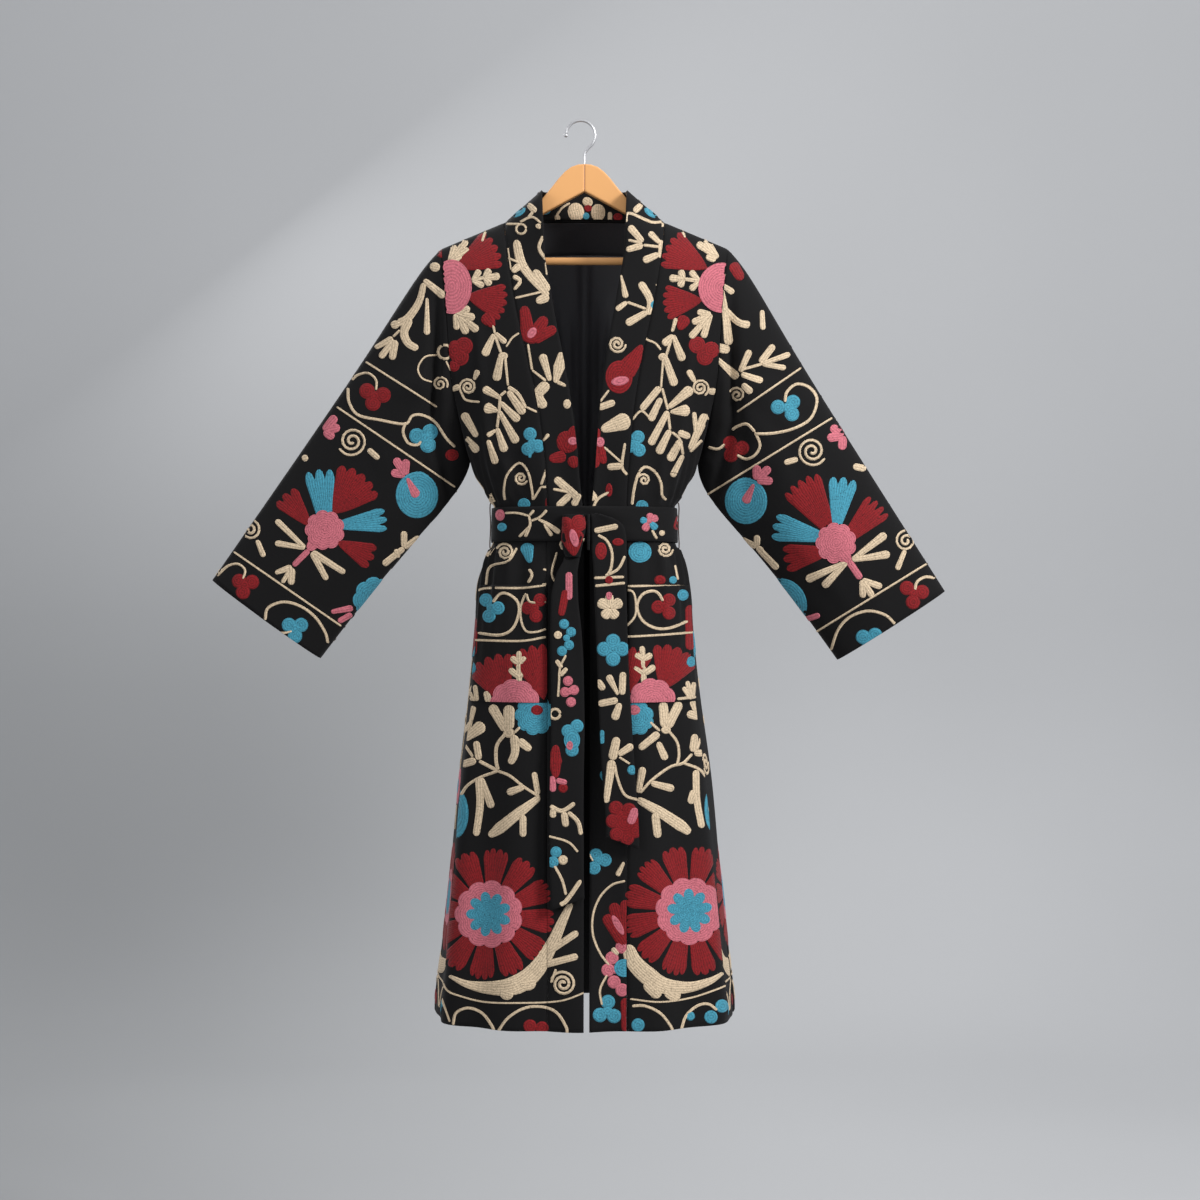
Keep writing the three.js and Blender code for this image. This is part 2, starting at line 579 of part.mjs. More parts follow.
// Patch pockets are the front's own points moved out.
for (const side of [-1, 1]) {
  const inside = (row) => {
    const z = riseOf(row) === null ? heightOf(row) : 0;
    return z < POCKET.top + 1 && z > POCKET.bottom - 1;
  };
  const grid = ROWS.map((row, i) => [row, i])
    .filter(([row]) => inside(row))
    .map(([, i]) => frontGrids[side][i].slice(0, POCKET.columns + 1));
  group.add(wall(side < 0 ? 'pocket_left' : 'pocket_right', grid, POCKET.thick, cloth(),
    { under: LIFT }));
}

// Inside the neck: a plain facing, and the lining with its middle pleat, from the back's own
// points moved in.
function onBack(column, row) {
  const j = Math.max(0, backColumns.findLastIndex((c) => c <= column + 1e-9));
  const i = Math.max(0, ROWS.findLastIndex((r) => r <= row + 1e-9));
  const [j2, i2] = [Math.min(j + 1, backColumns.length - 1), Math.min(i + 1, ROWS.length - 1)];
  const s = j2 > j ? (column - backColumns[j]) / (backColumns[j2] - backColumns[j]) : 0;
  const t = i2 > i ? (row - ROWS[i]) / (ROWS[i2] - ROWS[i]) : 0;
  const mix = (key) => {
    const upper = backGrid[i][j][key].clone().lerp(backGrid[i][j2][key], s);
    return upper.lerp(backGrid[i2][j][key].clone().lerp(backGrid[i2][j2][key], s), t);
  };
  return { p: mix('p'), n: mix('n').normalize() };
}
const moveIn = (columns, rows, deep) =>
  rows.map((row) =>
    columns.map((column) => {
      const { p, n } = onBack(column, row);
      return { p: p.addScaledVector(n, -(CLOTH + LIFT) - deep(column, row)), n };
    }));
const facingRows = RISES.slice(1, 4).map(rowAtRise);
const facingColumns = backColumns.filter((c) => Math.abs(c) < neckShare + 0.08);
group.add(wall('neck_facing', moveIn(facingColumns, facingRows, () => 0.1), 1.2,
  finish('#141415', 0.8)));
const liningRows = ROWS.slice(3).filter((row) => row < rowAtHeight(-612));
const liningColumns = [...facingColumns, -0.03, 0.03, -0.012, 0.012].sort((a, b) => a - b);
const pleat = (column) => 7 * Math.exp(-((column / 0.016) ** 2));
const drape = (column, row) =>
  0.3 + pleat(column) + 1.6 * (1 + Math.cos(column * 26 + 1)) * smooth((row - 0.06) / 0.1);
const liningGrid = moveIn(liningColumns, liningRows, drape);
liningGrid[0].forEach(({ p }) => p.setZ(p.z - 2 * GAP));
group.add(wall('lining_back', liningGrid, 1.2,
  finish('#101012', 0.6)));

// Belt: round the waist over the gathers, then the knot and the two hanging ends.
const waist = (turn, z, off) => {
  const side = Math.sin(turn) < 0 ? -1 : 1;
  const face = Math.cos(turn) > 0 ? -1 : 1;
  const angle = Math.asin(Math.min(1, Math.abs(Math.sin(turn))));
  const wide = level('wide', z);
  const full = level(face < 0 ? 'front' : 'back', z);
  const p = V(side * wide * Math.sin(angle), face * full * Math.cos(angle) ** 0.7, z);
  const q = (a) => V(wide * Math.sin(a), 0, full * Math.cos(a) ** 0.7);
  const b = Math.min(angle, Math.PI / 2 - 1e-3);
  const t = q(b + 5e-4).sub(q(Math.max(0, b - 5e-4))).normalize();
  const n = angle > Math.PI / 2 - 1e-3 ? V(side, 0, 0) : V(side * t.z * -1, face * t.x, 0);
  if (angle < 1e-6) n.set(0, face, 0);
  return { p: p.addScaledVector(n.normalize(), off), n };
};
const beltGrid = [BELT.top, (BELT.top + BELT.bottom) / 2, BELT.bottom].map((z, i) =>
  Array.from({ length: BELT.columns }, (_, k) => {
    const turn = (2 * Math.PI * k) / BELT.columns;
    return waist(turn, z, BELT.off + BELT.thick + (i === 1 ? 0.5 : 0));
  }));
group.add(wall('belt_round', beltGrid, BELT.thick, cloth(), { loop: true }));

/** Depth of the skirt's face where nothing is hollow, for what hangs over it. */
function skirtDepth(x, z) {
  const ratio = Math.min(0.95, Math.abs(x) / level('wide', z));
  const ripple = level('gather', z) + level('flute', z);
  return level('front', z) * (1 - ratio * ratio) ** 0.35 + ripple * 0.8;
}
function tail(name, table, slant) {
  const last = table[table.length - 1];
  const grid = table.map((row) =>
    Array.from({ length: TAIL_COLUMNS + 1 }, (_, k) => {
      const share = k / TAIL_COLUMNS;
      const x = lerp(row.from, row.to, share);
      const z = row.z + (row === last ? slant * (share - 0.5) : 0);
      const near = Math.min(Math.abs(row.from), Math.abs(row.to), Math.abs(x));
      const bend = 1.2 * Math.sin(share * Math.PI * 2 + row.z / 60);
      return { p: V(x, -(skirtDepth(near, z) + row.off + TAPE + 0.6 + bend * 0.5), z), n: V(0, -1, 0) };
    }));
  group.add(wall(name, grid, TAPE, cloth()));
}
tail('belt_tail_left', TAIL_LEFT, TAIL_SLANT.left);
tail('belt_tail_right', TAIL_RIGHT, TAIL_SLANT.right);

// The knot: wraps of the tape over the belt, flat behind and round before.
for (const { name, x: midX, z: midZ, wide, tall, deep, taper, lean } of KNOTS) {
  const face = -(level('front', midZ) + BELT.off + BELT.thick + 1.4);
  const around = 16;
  const rings = 9;
  const points = [];
  const faces = [];
  for (let i = 0; i <= rings; i += 1) {
    const t = i / rings;
    const round = Math.sin(Math.PI * (0.08 + 0.84 * t)) ** 0.5;
    const half = (wide / 2) * (0.62 + 0.38 * round) * (1 - taper * t ** 1.6);
    for (let k = 0; k < around; k += 1) {
      const a = (2 * Math.PI * k) / around;
      const sx = Math.sign(Math.cos(a)) * Math.abs(Math.cos(a)) ** 0.7;
      const sy = Math.max(0, Math.sin(a)) ** 0.8;
      const out = deep * (0.35 + 0.65 * round) * sy;
      points.push(V(midX + half * sx + lean * Math.sin(6 * t), face - out, midZ + tall * (0.5 - t)));
    }
  }
  const ring = (i, k) => i * around + (k % around);
  for (let i = 0; i < rings; i += 1) {
    for (let k = 0; k < around; k += 1) {
      faces.push([ring(i, k), ring(i, k + 1), ring(i + 1, k + 1)]);
      faces.push([ring(i, k), ring(i + 1, k + 1), ring(i + 1, k)]);
    }
  }
  for (const i of [0, rings]) {
    const middle = V(0, 0, 0);
    for (let k = 0; k < around; k += 1) middle.addScaledVector(points[ring(i, k)], 1 / around);
    points.push(middle);
    const m = points.length - 1;
    for (let k = 0; k < around; k += 1) {
      faces.push(i === 0 ? [m, ring(i, k + 1), ring(i, k)] : [m, ring(i, k), ring(i, k + 1)]);
    }
  }
  group.add(solid(name, points, faces, cloth()));
}

/** A round bar along a path. */
function rod(name, path, radius, steps, sides, material) {
  const shape = new THREE.Shape(Array.from({ length: sides }, (_, k) => {
    const a = (2 * Math.PI * k) / sides;
    return new THREE.Vector2(radius * Math.cos(a), radius * Math.sin(a));
  }));
  const geometry = new THREE.ExtrudeGeometry(shape, { steps, extrudePath: path, bevelEnabled: false });
  const mesh = new THREE.Mesh(geometry, material);
  mesh.name = name;
  return mesh;
}
for (const side of [-1, 1]) {
  const waistX = (z) => level('wide', z);
  const path = new THREE.CatmullRomCurve3([
    V(side * (waistX(CARRIER.top) + 1.6), 0, CARRIER.top + 3),
    V(side * (waistX(CARRIER.top) + CARRIER.off * 0.8), 0, CARRIER.top - 1),
    V(side * (waistX(-586) + CARRIER.off + 1), 0, -586),
    V(side * (waistX(CARRIER.bottom) + CARRIER.off * 0.6), 0, CARRIER.bottom + 1),
    V(side * (waistX(CARRIER.bottom) + 1.4), 0, CARRIER.bottom - 3),
  ]);
  group.add(rod(side < 0 ? 'carrier_left' : 'carrier_right', path, CARRIER.radius, 14, 6,
    finish('#3a2a20', 0.9)));
}

// Hanger: two arms, the bar and the hook.
for (const side of [-1, 1]) {
  const under = (x) => shoulderLine(x) - HANGER.under;
  const outline = [
    [0.15, -62], [9, -62.6], [19, -66], [29, -73.5], [38, -83.5], [49, -97.5], [63, -114],
    [86, -132.5], [115, under(115) - 0.4], [150, under(150)], [180, under(180) - 0.4],
    [191, under(191) - 2], [196, under(196) - 6], [197, -206], [194, -210.5], [177, -210.5],
    [176.6, -196.2], [57, -132.2], [0.15, -101.6],
  ];
  const shape = new THREE.Shape(outline.map(([x, z]) => new THREE.Vector2(side * x, z)));
  const edge = 2;
  const geometry = new THREE.ExtrudeGeometry(shape, {
    depth: HANGER.thick - 2 * edge, bevelEnabled: true, bevelSize: edge, bevelOffset: -edge,
    bevelThickness: edge, bevelSegments: 2,
  });
  geometry.translate(0, 0, -(HANGER.thick - 2 * edge) / 2);
  geometry.rotateX(Math.PI / 2);
  const mesh = new THREE.Mesh(geometry, finish('#d99a5b', 0.45));
  mesh.name = side < 0 ? 'hanger_arm_left' : 'hanger_arm_right';
  group.add(mesh);
}
group.add(rod('hanger_bar',
  new THREE.LineCurve3(V(-HANGER.barHalf, 0, HANGER.barZ), V(HANGER.barHalf, 0, HANGER.barZ)),
  HANGER.bar, 1, 20, finish('#d99a5b', 0.45)));

{
  const centre = V(0, 0, HOOK.wire - HOOK.radius);
  const points = [];
  for (let a = HOOK.turn; a >= -20; a -= 12) {
    const t = (a * Math.PI) / 180;
    points.push(V(centre.x + HOOK.radius * Math.cos(t), 0, centre.z + HOOK.radius * Math.sin(t)));
  }
  for (const [x, z] of [[17, -32.5], [11.2, -38.5], [7, -43.6], [5.6, -49], [5.5, -55], [5.5, -61.6]]) {
    points.push(V(x, 0, z));
  }
  group.add(rod('hanger_hook', new THREE.CatmullRomCurve3(points), HOOK.wire, 40, 10,
    finish('#c9c9c9', 0.3, 1)));
  const tip = (HOOK.turn * Math.PI) / 180;
  const way = V(-Math.sin(tip), 0, Math.cos(tip));
  const ball = new THREE.SphereGeometry(HOOK.ball, 14, 9);
  const at = points[0].clone().addScaledVector(way, HOOK.ball + 0.3);
  ball.translate(at.x, at.y, at.z);
  const mesh = new THREE.Mesh(ball, finish('#c9c9c9', 0.3, 1));
  mesh.name = 'hook_tip';
  group.add(mesh);
}

for (const mesh of group.children) {
  if (!mesh.name.startsWith('hanger_hook') && mesh.name !== 'hook_tip') {
    mesh.geometry.translate(MIDDLE_X, 0, 0);
  }
}
export default group;
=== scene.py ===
"""Looks of a long embroidered coat on a wooden hanger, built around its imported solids.

Metres, +Z up, the coat's front faces -Y, and the origin is the inner top of the hook.
The cut repeats the part's own tables in millimetres, so every panel lies on its solid.
"""

import logging
import math
from collections.abc import Callable, Sequence
from dataclasses import dataclass
from enum import Enum

import bmesh
import bpy
import numpy as np
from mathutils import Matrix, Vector


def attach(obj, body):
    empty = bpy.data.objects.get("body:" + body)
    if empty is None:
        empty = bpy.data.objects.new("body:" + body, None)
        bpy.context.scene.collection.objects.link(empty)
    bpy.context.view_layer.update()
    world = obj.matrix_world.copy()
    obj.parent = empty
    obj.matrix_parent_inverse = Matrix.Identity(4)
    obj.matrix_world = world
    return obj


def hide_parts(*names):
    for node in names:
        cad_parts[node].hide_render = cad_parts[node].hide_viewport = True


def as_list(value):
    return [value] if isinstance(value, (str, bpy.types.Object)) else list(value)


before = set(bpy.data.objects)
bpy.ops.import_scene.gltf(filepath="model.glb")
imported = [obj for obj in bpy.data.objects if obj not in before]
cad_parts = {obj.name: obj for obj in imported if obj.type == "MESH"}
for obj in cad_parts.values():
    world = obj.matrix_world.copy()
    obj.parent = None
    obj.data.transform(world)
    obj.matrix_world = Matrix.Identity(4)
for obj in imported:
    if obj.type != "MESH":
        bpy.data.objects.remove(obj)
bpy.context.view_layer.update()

LOG = logging.getLogger("coat")
Array = np.ndarray
MM = 0.001
SIDES = {-1: "left", 1: "right"}


def lerp(a: float, b: float, t: float) -> float:
    """Straight mix of two numbers or arrays."""
    return a + (b - a) * t


def smooth(t: Array) -> Array:
    """Smooth step from 0 to 1."""
    s = np.clip(t, 0, 1)
    return s * s * (3 - 2 * s)


class Table:
    """Sizes read smoothly by a key that falls from row to row."""

    def __init__(self, names: str, rows: Sequence[Sequence[float]]) -> None:
        """Keeps one array for each named column; the first name is the key."""
        self.columns = dict(zip(names.split(), np.array(rows, float).T, strict=True))
        self.keys = self.columns[names.split()[0]]

    def read(self, name: str, at: Array) -> Array:
        """Reads a column.

        Args:
            name: The column.
            at: Keys, as a number or an array.

        Returns:
            The column's values there, without overshoot between rows.
        """
        keys, values = self.keys, self.columns[name]
        steps = np.diff(values) / np.diff(keys)
        before, after = steps[:-1], steps[1:]
        total = before + after
        mean = np.where(before * after > 0, 2 * before * after / np.where(total == 0, 1, total), 0)
        slope = np.concatenate([[0], mean, [0]])
        at = np.clip(np.asarray(at, float), keys[-1], keys[0])
        i = np.clip(np.searchsorted(-keys, -at, side="right") - 1, 0, len(keys) - 2)
        span = keys[i + 1] - keys[i]
        t = (at - keys[i]) / span
        h = t * t * (3 - 2 * t)
        bend = slope[i] * t * (1 - t) ** 2 - slope[i + 1] * t * t * (1 - t)
        return values[i] * (1 - h) + values[i + 1] * h + span * bend


def stack(x: Array, y: Array, z: Array) -> Array:
    """Three coordinates as one array of points."""
    return np.stack(np.broadcast_arrays(x, y, z), -1)


def creased(
    turn: Array, along: Array, rows: Sequence[Sequence[float]], swell: float, near: float
) -> Array:
    """Heights of the creases that wind along a sleeve.

    Args:
        turn: Degrees round the sleeve from its top, through the front.
        along: Share of the sleeve's length.
        rows: From, to, around, turn, spread and height of each crease.
        swell: Power of how a crease swells and fades; a smaller one is fuller.
        near: Share of the length in which creases rise out of the armhole.

    Returns:
        Heights in millimetres.
    """
    push = np.zeros_like(turn)
    for start, end, around, turning, spread, high in rows:
        share = (along - start) / (end - start)
        away = (turn - around - turning * share) / spread
        fade = np.clip(np.sin(np.pi * np.clip(share, 0, 1)), 0, 1) ** swell
        push += high * fade * np.exp(-away * away) * smooth(along / near)
    return push


class Cut:
    """The coat's form: every panel's outer face in millimetres, as the part's source has it."""

    cloth = 2.0
    lift = 0.35
    hem_z = -1290
    armpit_z = -486
    neck_x, neck_z = 115, -146
    shoulder_x, shoulder_z = 206, -184
    back_neck_y, back_neck_z = 58, -133
    middle_x = 5.5
    arm_depth = 56
    opening_shift = 4
    armpit_row = 0.3
    cuff_depth = 34
    gather_waves, flute_waves = 14, 11
    levels = Table(
        "z wide front back edge seam hollow gather flute",
        [
            (-96, 206, 70, 74, 64, 116, 0, 0, 0),
            (-150, 206, 74, 78, 61, 114, 0, 0, 0),
            (-210, 200, 80, 84, 53, 106, 0, 0, 0),
            (-274, 196, 85, 88, 44, 97, 0, 0, 0),
            (-361, 191, 91, 91, 28, 79, 0, 0, 0),
            (-426, 181, 94, 91, 19, 67, 0, 0.6, 0),
            (-486, 166, 95, 91, 13, 60, 1, 2.0, 0),
            (-519, 152, 95, 91, 11, 57, 3, 3.2, 0),
            (-545, 137, 94, 90, 8, 56, 4, 2.6, 0),
            (-562, 130, 93, 89, 6, 56, 2, 0.8, 0),
            (-610, 131, 93, 89, 5, 56, 2, 0.8, 0),
            (-632, 141, 97, 93, 4, 56, 12, 3.4, 0),
            (-672, 151, 104, 101, 4, 56, 24, 3.0, 0),
            (-740, 158, 111, 109, 4, 56, 28, 1.6, 1),
            (-837, 168, 119, 118, 4, 56, 26, 0.4, 2),
            (-960, 184, 128, 128, 4, 56, 19, 0, 3),
            (-1099, 197, 137, 138, 4, 56, 11, 0, 4),
            (-1200, 207, 144, 146, 4, 56, 5, 0, 4.5),
            (-1290, 215.5, 150, 153, 4, 56, 2, 0, 5),
        ],
    )
    collar_edge = (
        (1, 62, 2, -98.5),
        (0.985, 61.8, -20, -103.5),
        (0.95, 61, -40, -119),
        (0.885, 58.6, -62, -160),
    )
    collar_back_y, collar_back_z = 73, -84
    # the band follows the body below the first rise and stands as a collar above the second
    lapel_rise, collar_rise = 0.66, 0.885
    belt_top, belt_bottom = -558, -613
    # side: top x, top z, underside x, underside z, sag
    cuffs = {-1: (539, -664, 383, -777, 13), 1: (522, -680, 367, -779, 19)}
    crown_high, crown_at, sag_at = 6, 0.1, 0.17
    # from, to, around, turn, spread, high: the sleeve's creases out of the armpit
    creases = (
        (0, 0.42, 128, -38, 13, 5.5),
        (0, 0.34, 152, -22, 9, -4.0),
        (0.05, 0.6, 84, 26, 18, 2.6),
        (0.3, 1.05, 118, -20, 20, 2.4),
        (0, 0.4, 226, 34, 14, 4.6),
        (0.2, 0.9, 268, -24, 20, 2.8),
    )

    def __init__(self) -> None:
        """Works out the angle of the neck's corner."""
        self.neck_angle = math.asin(self.neck_x / self.shoulder_x)

    def shoulder_line(self, x: Array) -> Array:
        """Height of the shoulder seam at a distance from the middle."""
        fall = (self.shoulder_z - self.neck_z) / (self.shoulder_x - self.neck_x)
        return self.neck_z + (np.abs(x) - self.neck_x) * fall

    def rise_of(self, row: Array) -> Array:
        """Height share over the armpit, and 0 below it."""
        return np.clip(1 - row / self.armpit_row, 0, 1)

    def height_of(self, row: Array) -> Array:
        """Height of a row below the armpit."""
        return lerp(self.armpit_z, self.hem_z, (row - self.armpit_row) / (1 - self.armpit_row))

    def row_at_rise(self, rise: Array) -> Array:
        """Row of a height share over the armpit."""
        return (1 - rise) * self.armpit_row

    def row_at_height(self, z: Array) -> Array:
        """Row of a height below the armpit."""
        share = (z - self.armpit_z) / (self.hem_z - self.armpit_z)
        return lerp(self.armpit_row, 1, share)

    def shoulder_round(self, rise: Array) -> Array:
        """How the depth closes towards the shoulder seam."""
        return np.sqrt(np.clip(1 - rise**4, 0, 1))

    def body(self, face: int, side: Array, angle: Array, z: Array, rise: Array) -> Array:
        """A point of the body.

        Args:
            face: -1 for the front, 1 for the back.
            side: -1 for the wearer's right, 1 for the left, as seen in the picture.
            angle: Angle from the middle to the side seam.
            z: Height.
            rise: Height share over the armpit.

        Returns:
            Points in millimetres.
        """
        read = self.levels.read
        turn = side * (angle if face < 0 else np.pi - angle)
        out = read("gather", z) * np.cos(self.gather_waves * turn + 0.6 * np.sin(3 * turn))
        slip = 0.9 * np.sin(2 * turn) + 0.5 * np.cos(turn)
        out = (out + read("flute", z) * np.cos(self.flute_waves * turn + slip)) * (1 - rise)
        opened = np.clip(np.sin(np.minimum(1, rise / 0.46) * np.pi / 2), 0, 1) ** 0.8
        opened = self.arm_depth * opened
        power = 0.7 + 1.1 * smooth(rise / 0.4)
        full = read("front" if face < 0 else "back", z)
        deep = opened + (full - opened) * np.clip(np.cos(angle), 0, 1) ** power
        x = (read("wide", z) + out) * np.sin(angle)
        y = deep + out * np.cos(angle)
        if face < 0:
            y = y - read("hollow", z) * np.exp(-(((side * x - self.opening_shift) / 36) ** 2))
        return stack(side * x, face * y, z)

    def shifted(self, column: str, side: int, z: Array) -> Array:
        """A band's edge or seam, with the opening's shift to one side."""
        return self.levels.read(column, z) + side * self.opening_shift * smooth((-300 - z) / 200)

    def front(self, side: int, column: Array, row: Array) -> Array:
        """A front panel: column 0 at the band's seam, row 0 at the shoulder."""
        rise = self.rise_of(row)
        top = self.shoulder_x * np.sin(lerp(self.neck_angle, np.pi / 2, column))
        over = lerp(self.armpit_z, self.shoulder_line(top), rise)
        z = np.where(row < self.armpit_row, over, self.height_of(row))
        start = np.arcsin(self.shifted("seam", side, z) / self.levels.read("wide", z))
        p = self.body(-1, side, lerp(start, np.pi / 2, column), z, rise)
        p[..., 0] = lerp(p[..., 0], side * top, rise**6)
        p[..., 1] *= self.shoulder_round(rise)
        return p

    def back(self, column: Array, row: Array) -> Array:
        """The back panel: column from -1 to 1 between the side seams."""
        rise = self.rise_of(row)
        side = np.where(column < 0, -1.0, 1.0)
        angle = np.abs(column) * np.pi / 2
        neck = angle < self.neck_angle
        turn = angle / self.neck_angle * np.pi / 2
        top = np.where(neck, self.neck_x * np.sin(turn), self.shoulder_x * np.sin(angle))
        top_y = np.where(neck, self.back_neck_y * np.cos(turn), 0)
        neck_z = lerp(self.neck_z, self.back_neck_z, np.cos(turn))
        top_z = np.where(neck, neck_z, self.shoulder_line(top))
        over = lerp(self.armpit_z, top_z, rise)
        z = np.where(row < self.armpit_row, over, self.height_of(row))
        p = self.body(1, side, angle, z, rise)
        p[..., 0] = lerp(p[..., 0], side * top, rise**6)
        p[..., 1] = lerp(top_y, p[..., 1], self.shoulder_round(rise))
        return p

    def sleeve(self, side: int, angle: Array, along: Array) -> Array:
        """A sleeve: angle round it from its top, through the front, and share of its length."""
        turn = np.mod(angle, 2 * np.pi)
        rise = (1 + np.cos(turn)) / 2
        row = self.row_at_rise(rise)
        arm = np.where(
            (turn <= np.pi)[..., None],
            self.front(side, np.ones_like(row), row),
            self.back(side * np.ones_like(row), row),
        )
        top_x, top_z, under_x, under_z, sag = self.cuffs[side]
        deep = -self.cuff_depth * np.sign(np.sin(turn)) * np.abs(np.sin(turn)) ** 0.85
        cuff = stack(side * lerp(under_x, top_x, rise), deep, lerp(under_z, top_z, rise))
        p = lerp(arm, cuff, along[..., None])

        def bulge(high: float, at: float, facing: Array) -> Array:
            return high * np.clip(facing, 0, 1) ** 2 * (along / at) * np.exp(1 - along / at)

        off = bulge(self.crown_high, self.crown_at, np.cos(turn))
        off = off - bulge(sag, self.sag_at, -np.cos(turn))
        p[..., 0] += side * 0.82 * off
        p[..., 2] += 0.57 * off
        push = creased(np.degrees(turn), along, self.creases, 0.8, 0.12)
        p[..., 1] += np.sign(p[..., 1]) * push
        return p

    def band_edge(self, side: int, row: Array) -> Array:
        """Free edge of the front band beside a row."""
        rise = self.rise_of(row)
        seam = self.front(side, np.zeros_like(row), row)

        def flat(z: Array, share: Array) -> Array:
            angle = np.arcsin(self.shifted("edge", side, z) / self.levels.read("wide", z))
            p = self.body(-1, side, angle, z, share)
            p[..., 1] *= self.shoulder_round(share)
            return p

        base = flat(seam[..., 2], rise)
        low = self.collar_edge[-1]
        joint = self.front(side, np.zeros(1), np.array([self.row_at_rise(self.lapel_rise)]))
        under = flat(joint[..., 2], np.array([self.lapel_rise]))[0]
        rows = [*self.collar_edge, (self.lapel_rise, abs(under[0]), under[1], joint[0, 2])]
        table = Table("rise x y z", rows)
        high = stack(*(table.read(c, rise) for c in "xyz"))
        high[..., 0] *= side
        meet = self.front(side, np.zeros(1), np.array([self.row_at_rise(self.collar_rise)]))[0, 2]
        t = smooth((rise - self.lapel_rise) / (self.collar_rise - self.lapel_rise))
        mid = stack(
            lerp(base[..., 0], side * low[1], t),
            lerp(base[..., 1], low[2], t),
            lerp(base[..., 2], low[3] + seam[..., 2] - meet, t),
        )
        pick = rise[..., None]
        upper = np.where(pick < self.collar_rise, mid, high)
        return np.where(pick < self.lapel_rise, base, upper)

    def band(self, side: int, column: Array, row: Array) -> Array:
        """The front band: column 0 at its seam and 1 at its free edge."""
        rise = self.rise_of(row)
        p = lerp(self.front(side, np.zeros_like(row), row), self.band_edge(side, row), column[..., None])
        ratio = np.clip(side * p[..., 0] / self.levels.read("wide", p[..., 2]), -1, 1)
        q = self.body(-1, side, np.arcsin(ratio), p[..., 2], rise)
        p[..., 1] = np.where(rise < self.lapel_rise, q[..., 1] * self.shoulder_round(rise), p[..., 1])
        return p

    def collar(self, column: Array, turn: Array) -> Array:
        """The standing collar at the back: column 0 at the neck seam, turn from -1 to 1."""
        angle = turn * np.pi / 2
        sin, cos = np.sin(angle), np.cos(angle)
        seam = stack(self.neck_x * sin, self.back_neck_y * cos, lerp(self.neck_z, self.back_neck_z, cos))
        x, y, z = self.collar_edge[0][1:]
        edge = stack(x * sin, lerp(y, self.collar_back_y, cos), lerp(z, self.collar_back_z, cos**2))
        p = lerp(seam, edge, column[..., None])
        p[..., 1] += 5 * np.sin(np.pi * column) * cos
        return p

    def folds(self, p: Array, phase: float = 0) -> Array:
        """Heights of the soft folds at points of the body: gathers at the belt, drag lines and flutes."""
        z = p[..., 2]
        wide = self.levels.read("wide", z)
        arc = wide * np.arcsin(np.clip(p[..., 0] / wide, -1, 1))
        above, below = z - self.belt_top, self.belt_bottom - z
        gather = smooth(above / 14) * np.exp(-np.clip(above, 0, None) / 62)
        gather = np.where(below > 0, smooth(below / 14) * np.exp(-np.clip(below, 0, None) / 85), gather)
        gather = gather * ((above > 0) | (below > 0)) * smooth((np.abs(arc) - 34) / 40)
        wave = 0.5 + 0.5 * np.cos(arc * 0.19 + 1.3 * np.sin(arc * 0.037 + phase) + z * 0.006 + phase)
        flute = np.cos(arc * 0.052 + 0.9 * np.sin(arc * 0.013 + 2 * phase) + z * 0.0011 + phase)
        flute = flute * smooth((-650 - z) / 300) * smooth((np.abs(arc) - 40) / 60)
        line = 172 + (z + 300) * 0.07
        ridge = np.exp(-(((np.abs(arc) - line) / 11) ** 2)) * smooth((-270 - z) / 70) * smooth((z + 560) / 70)
        drag = np.exp(-(((np.abs(arc) - 150 - (z + 470) * 0.75) / 9) ** 2))
        drag = drag * smooth((-440 - z) / 40) * smooth((z + 565) / 25)
        return 4.6 * gather * wave**2 + 1.7 * flute + 3.6 * ridge + 2.6 * drag

    def waist(self, turn: Array, z: Array, off: Array) -> Array:
        """The belt's way round the waist: turn from the middle of the front."""
        face = np.where(np.cos(turn) > 0, -1.0, 1.0)
        full = np.where(face < 0, self.levels.read("front", z), self.levels.read("back", z))
        wide = self.levels.read("wide", z)

        def ring(a: Array) -> tuple[Array, Array]:
            cos = np.cos(a)
            return wide * np.sin(a), -full * np.sign(cos) * np.abs(cos) ** 0.7

        x, y = ring(turn)
        ax, ay = ring(turn - 4e-3)
        bx, by = ring(turn + 4e-3)
        length = np.hypot(bx - ax, by - ay)
        return stack(x + off * (by - ay) / length, y - off * (bx - ax) / length, z)

    def skirt_depth(self, x: Array, z: Array) -> Array:
        """Depth of the skirt's face where nothing is hollow, for what hangs over it."""
        ratio = np.minimum(0.95, np.abs(x) / self.levels.read("wide", z))
        ripple = self.levels.read("gather", z) + self.levels.read("flute", z)
        return self.levels.read("front", z) * (1 - ratio * ratio) ** 0.35 + ripple * 0.8


CUT = Cut()


@dataclass
class View:
    """A flat page that a panel's pattern is laid out on, in pixels of the picture."""

    eye: tuple[float, float, float] = (27.975, -3100.0, -693.1)
    scale: float = 1.45
    centre: float = 600.0
    turn: float = 0.0

    def project(self, points: Array) -> Array:
        """Page places of points in metres, seen from round the coat's middle by the turn in degrees."""
        x, y, z = (points[..., k] / MM for k in range(3))
        cos, sin = math.cos(math.radians(self.turn)), math.sin(math.radians(self.turn))
        x = x - CUT.middle_x
        x, y = CUT.middle_x + x * cos + y * sin, y * cos - x * sin
        reach = -self.eye[1] / (y - self.eye[1]) / self.scale
        return np.stack(
            [self.centre + (x - self.eye[0]) * reach, self.centre - (z - self.eye[2]) * reach], -1
        )


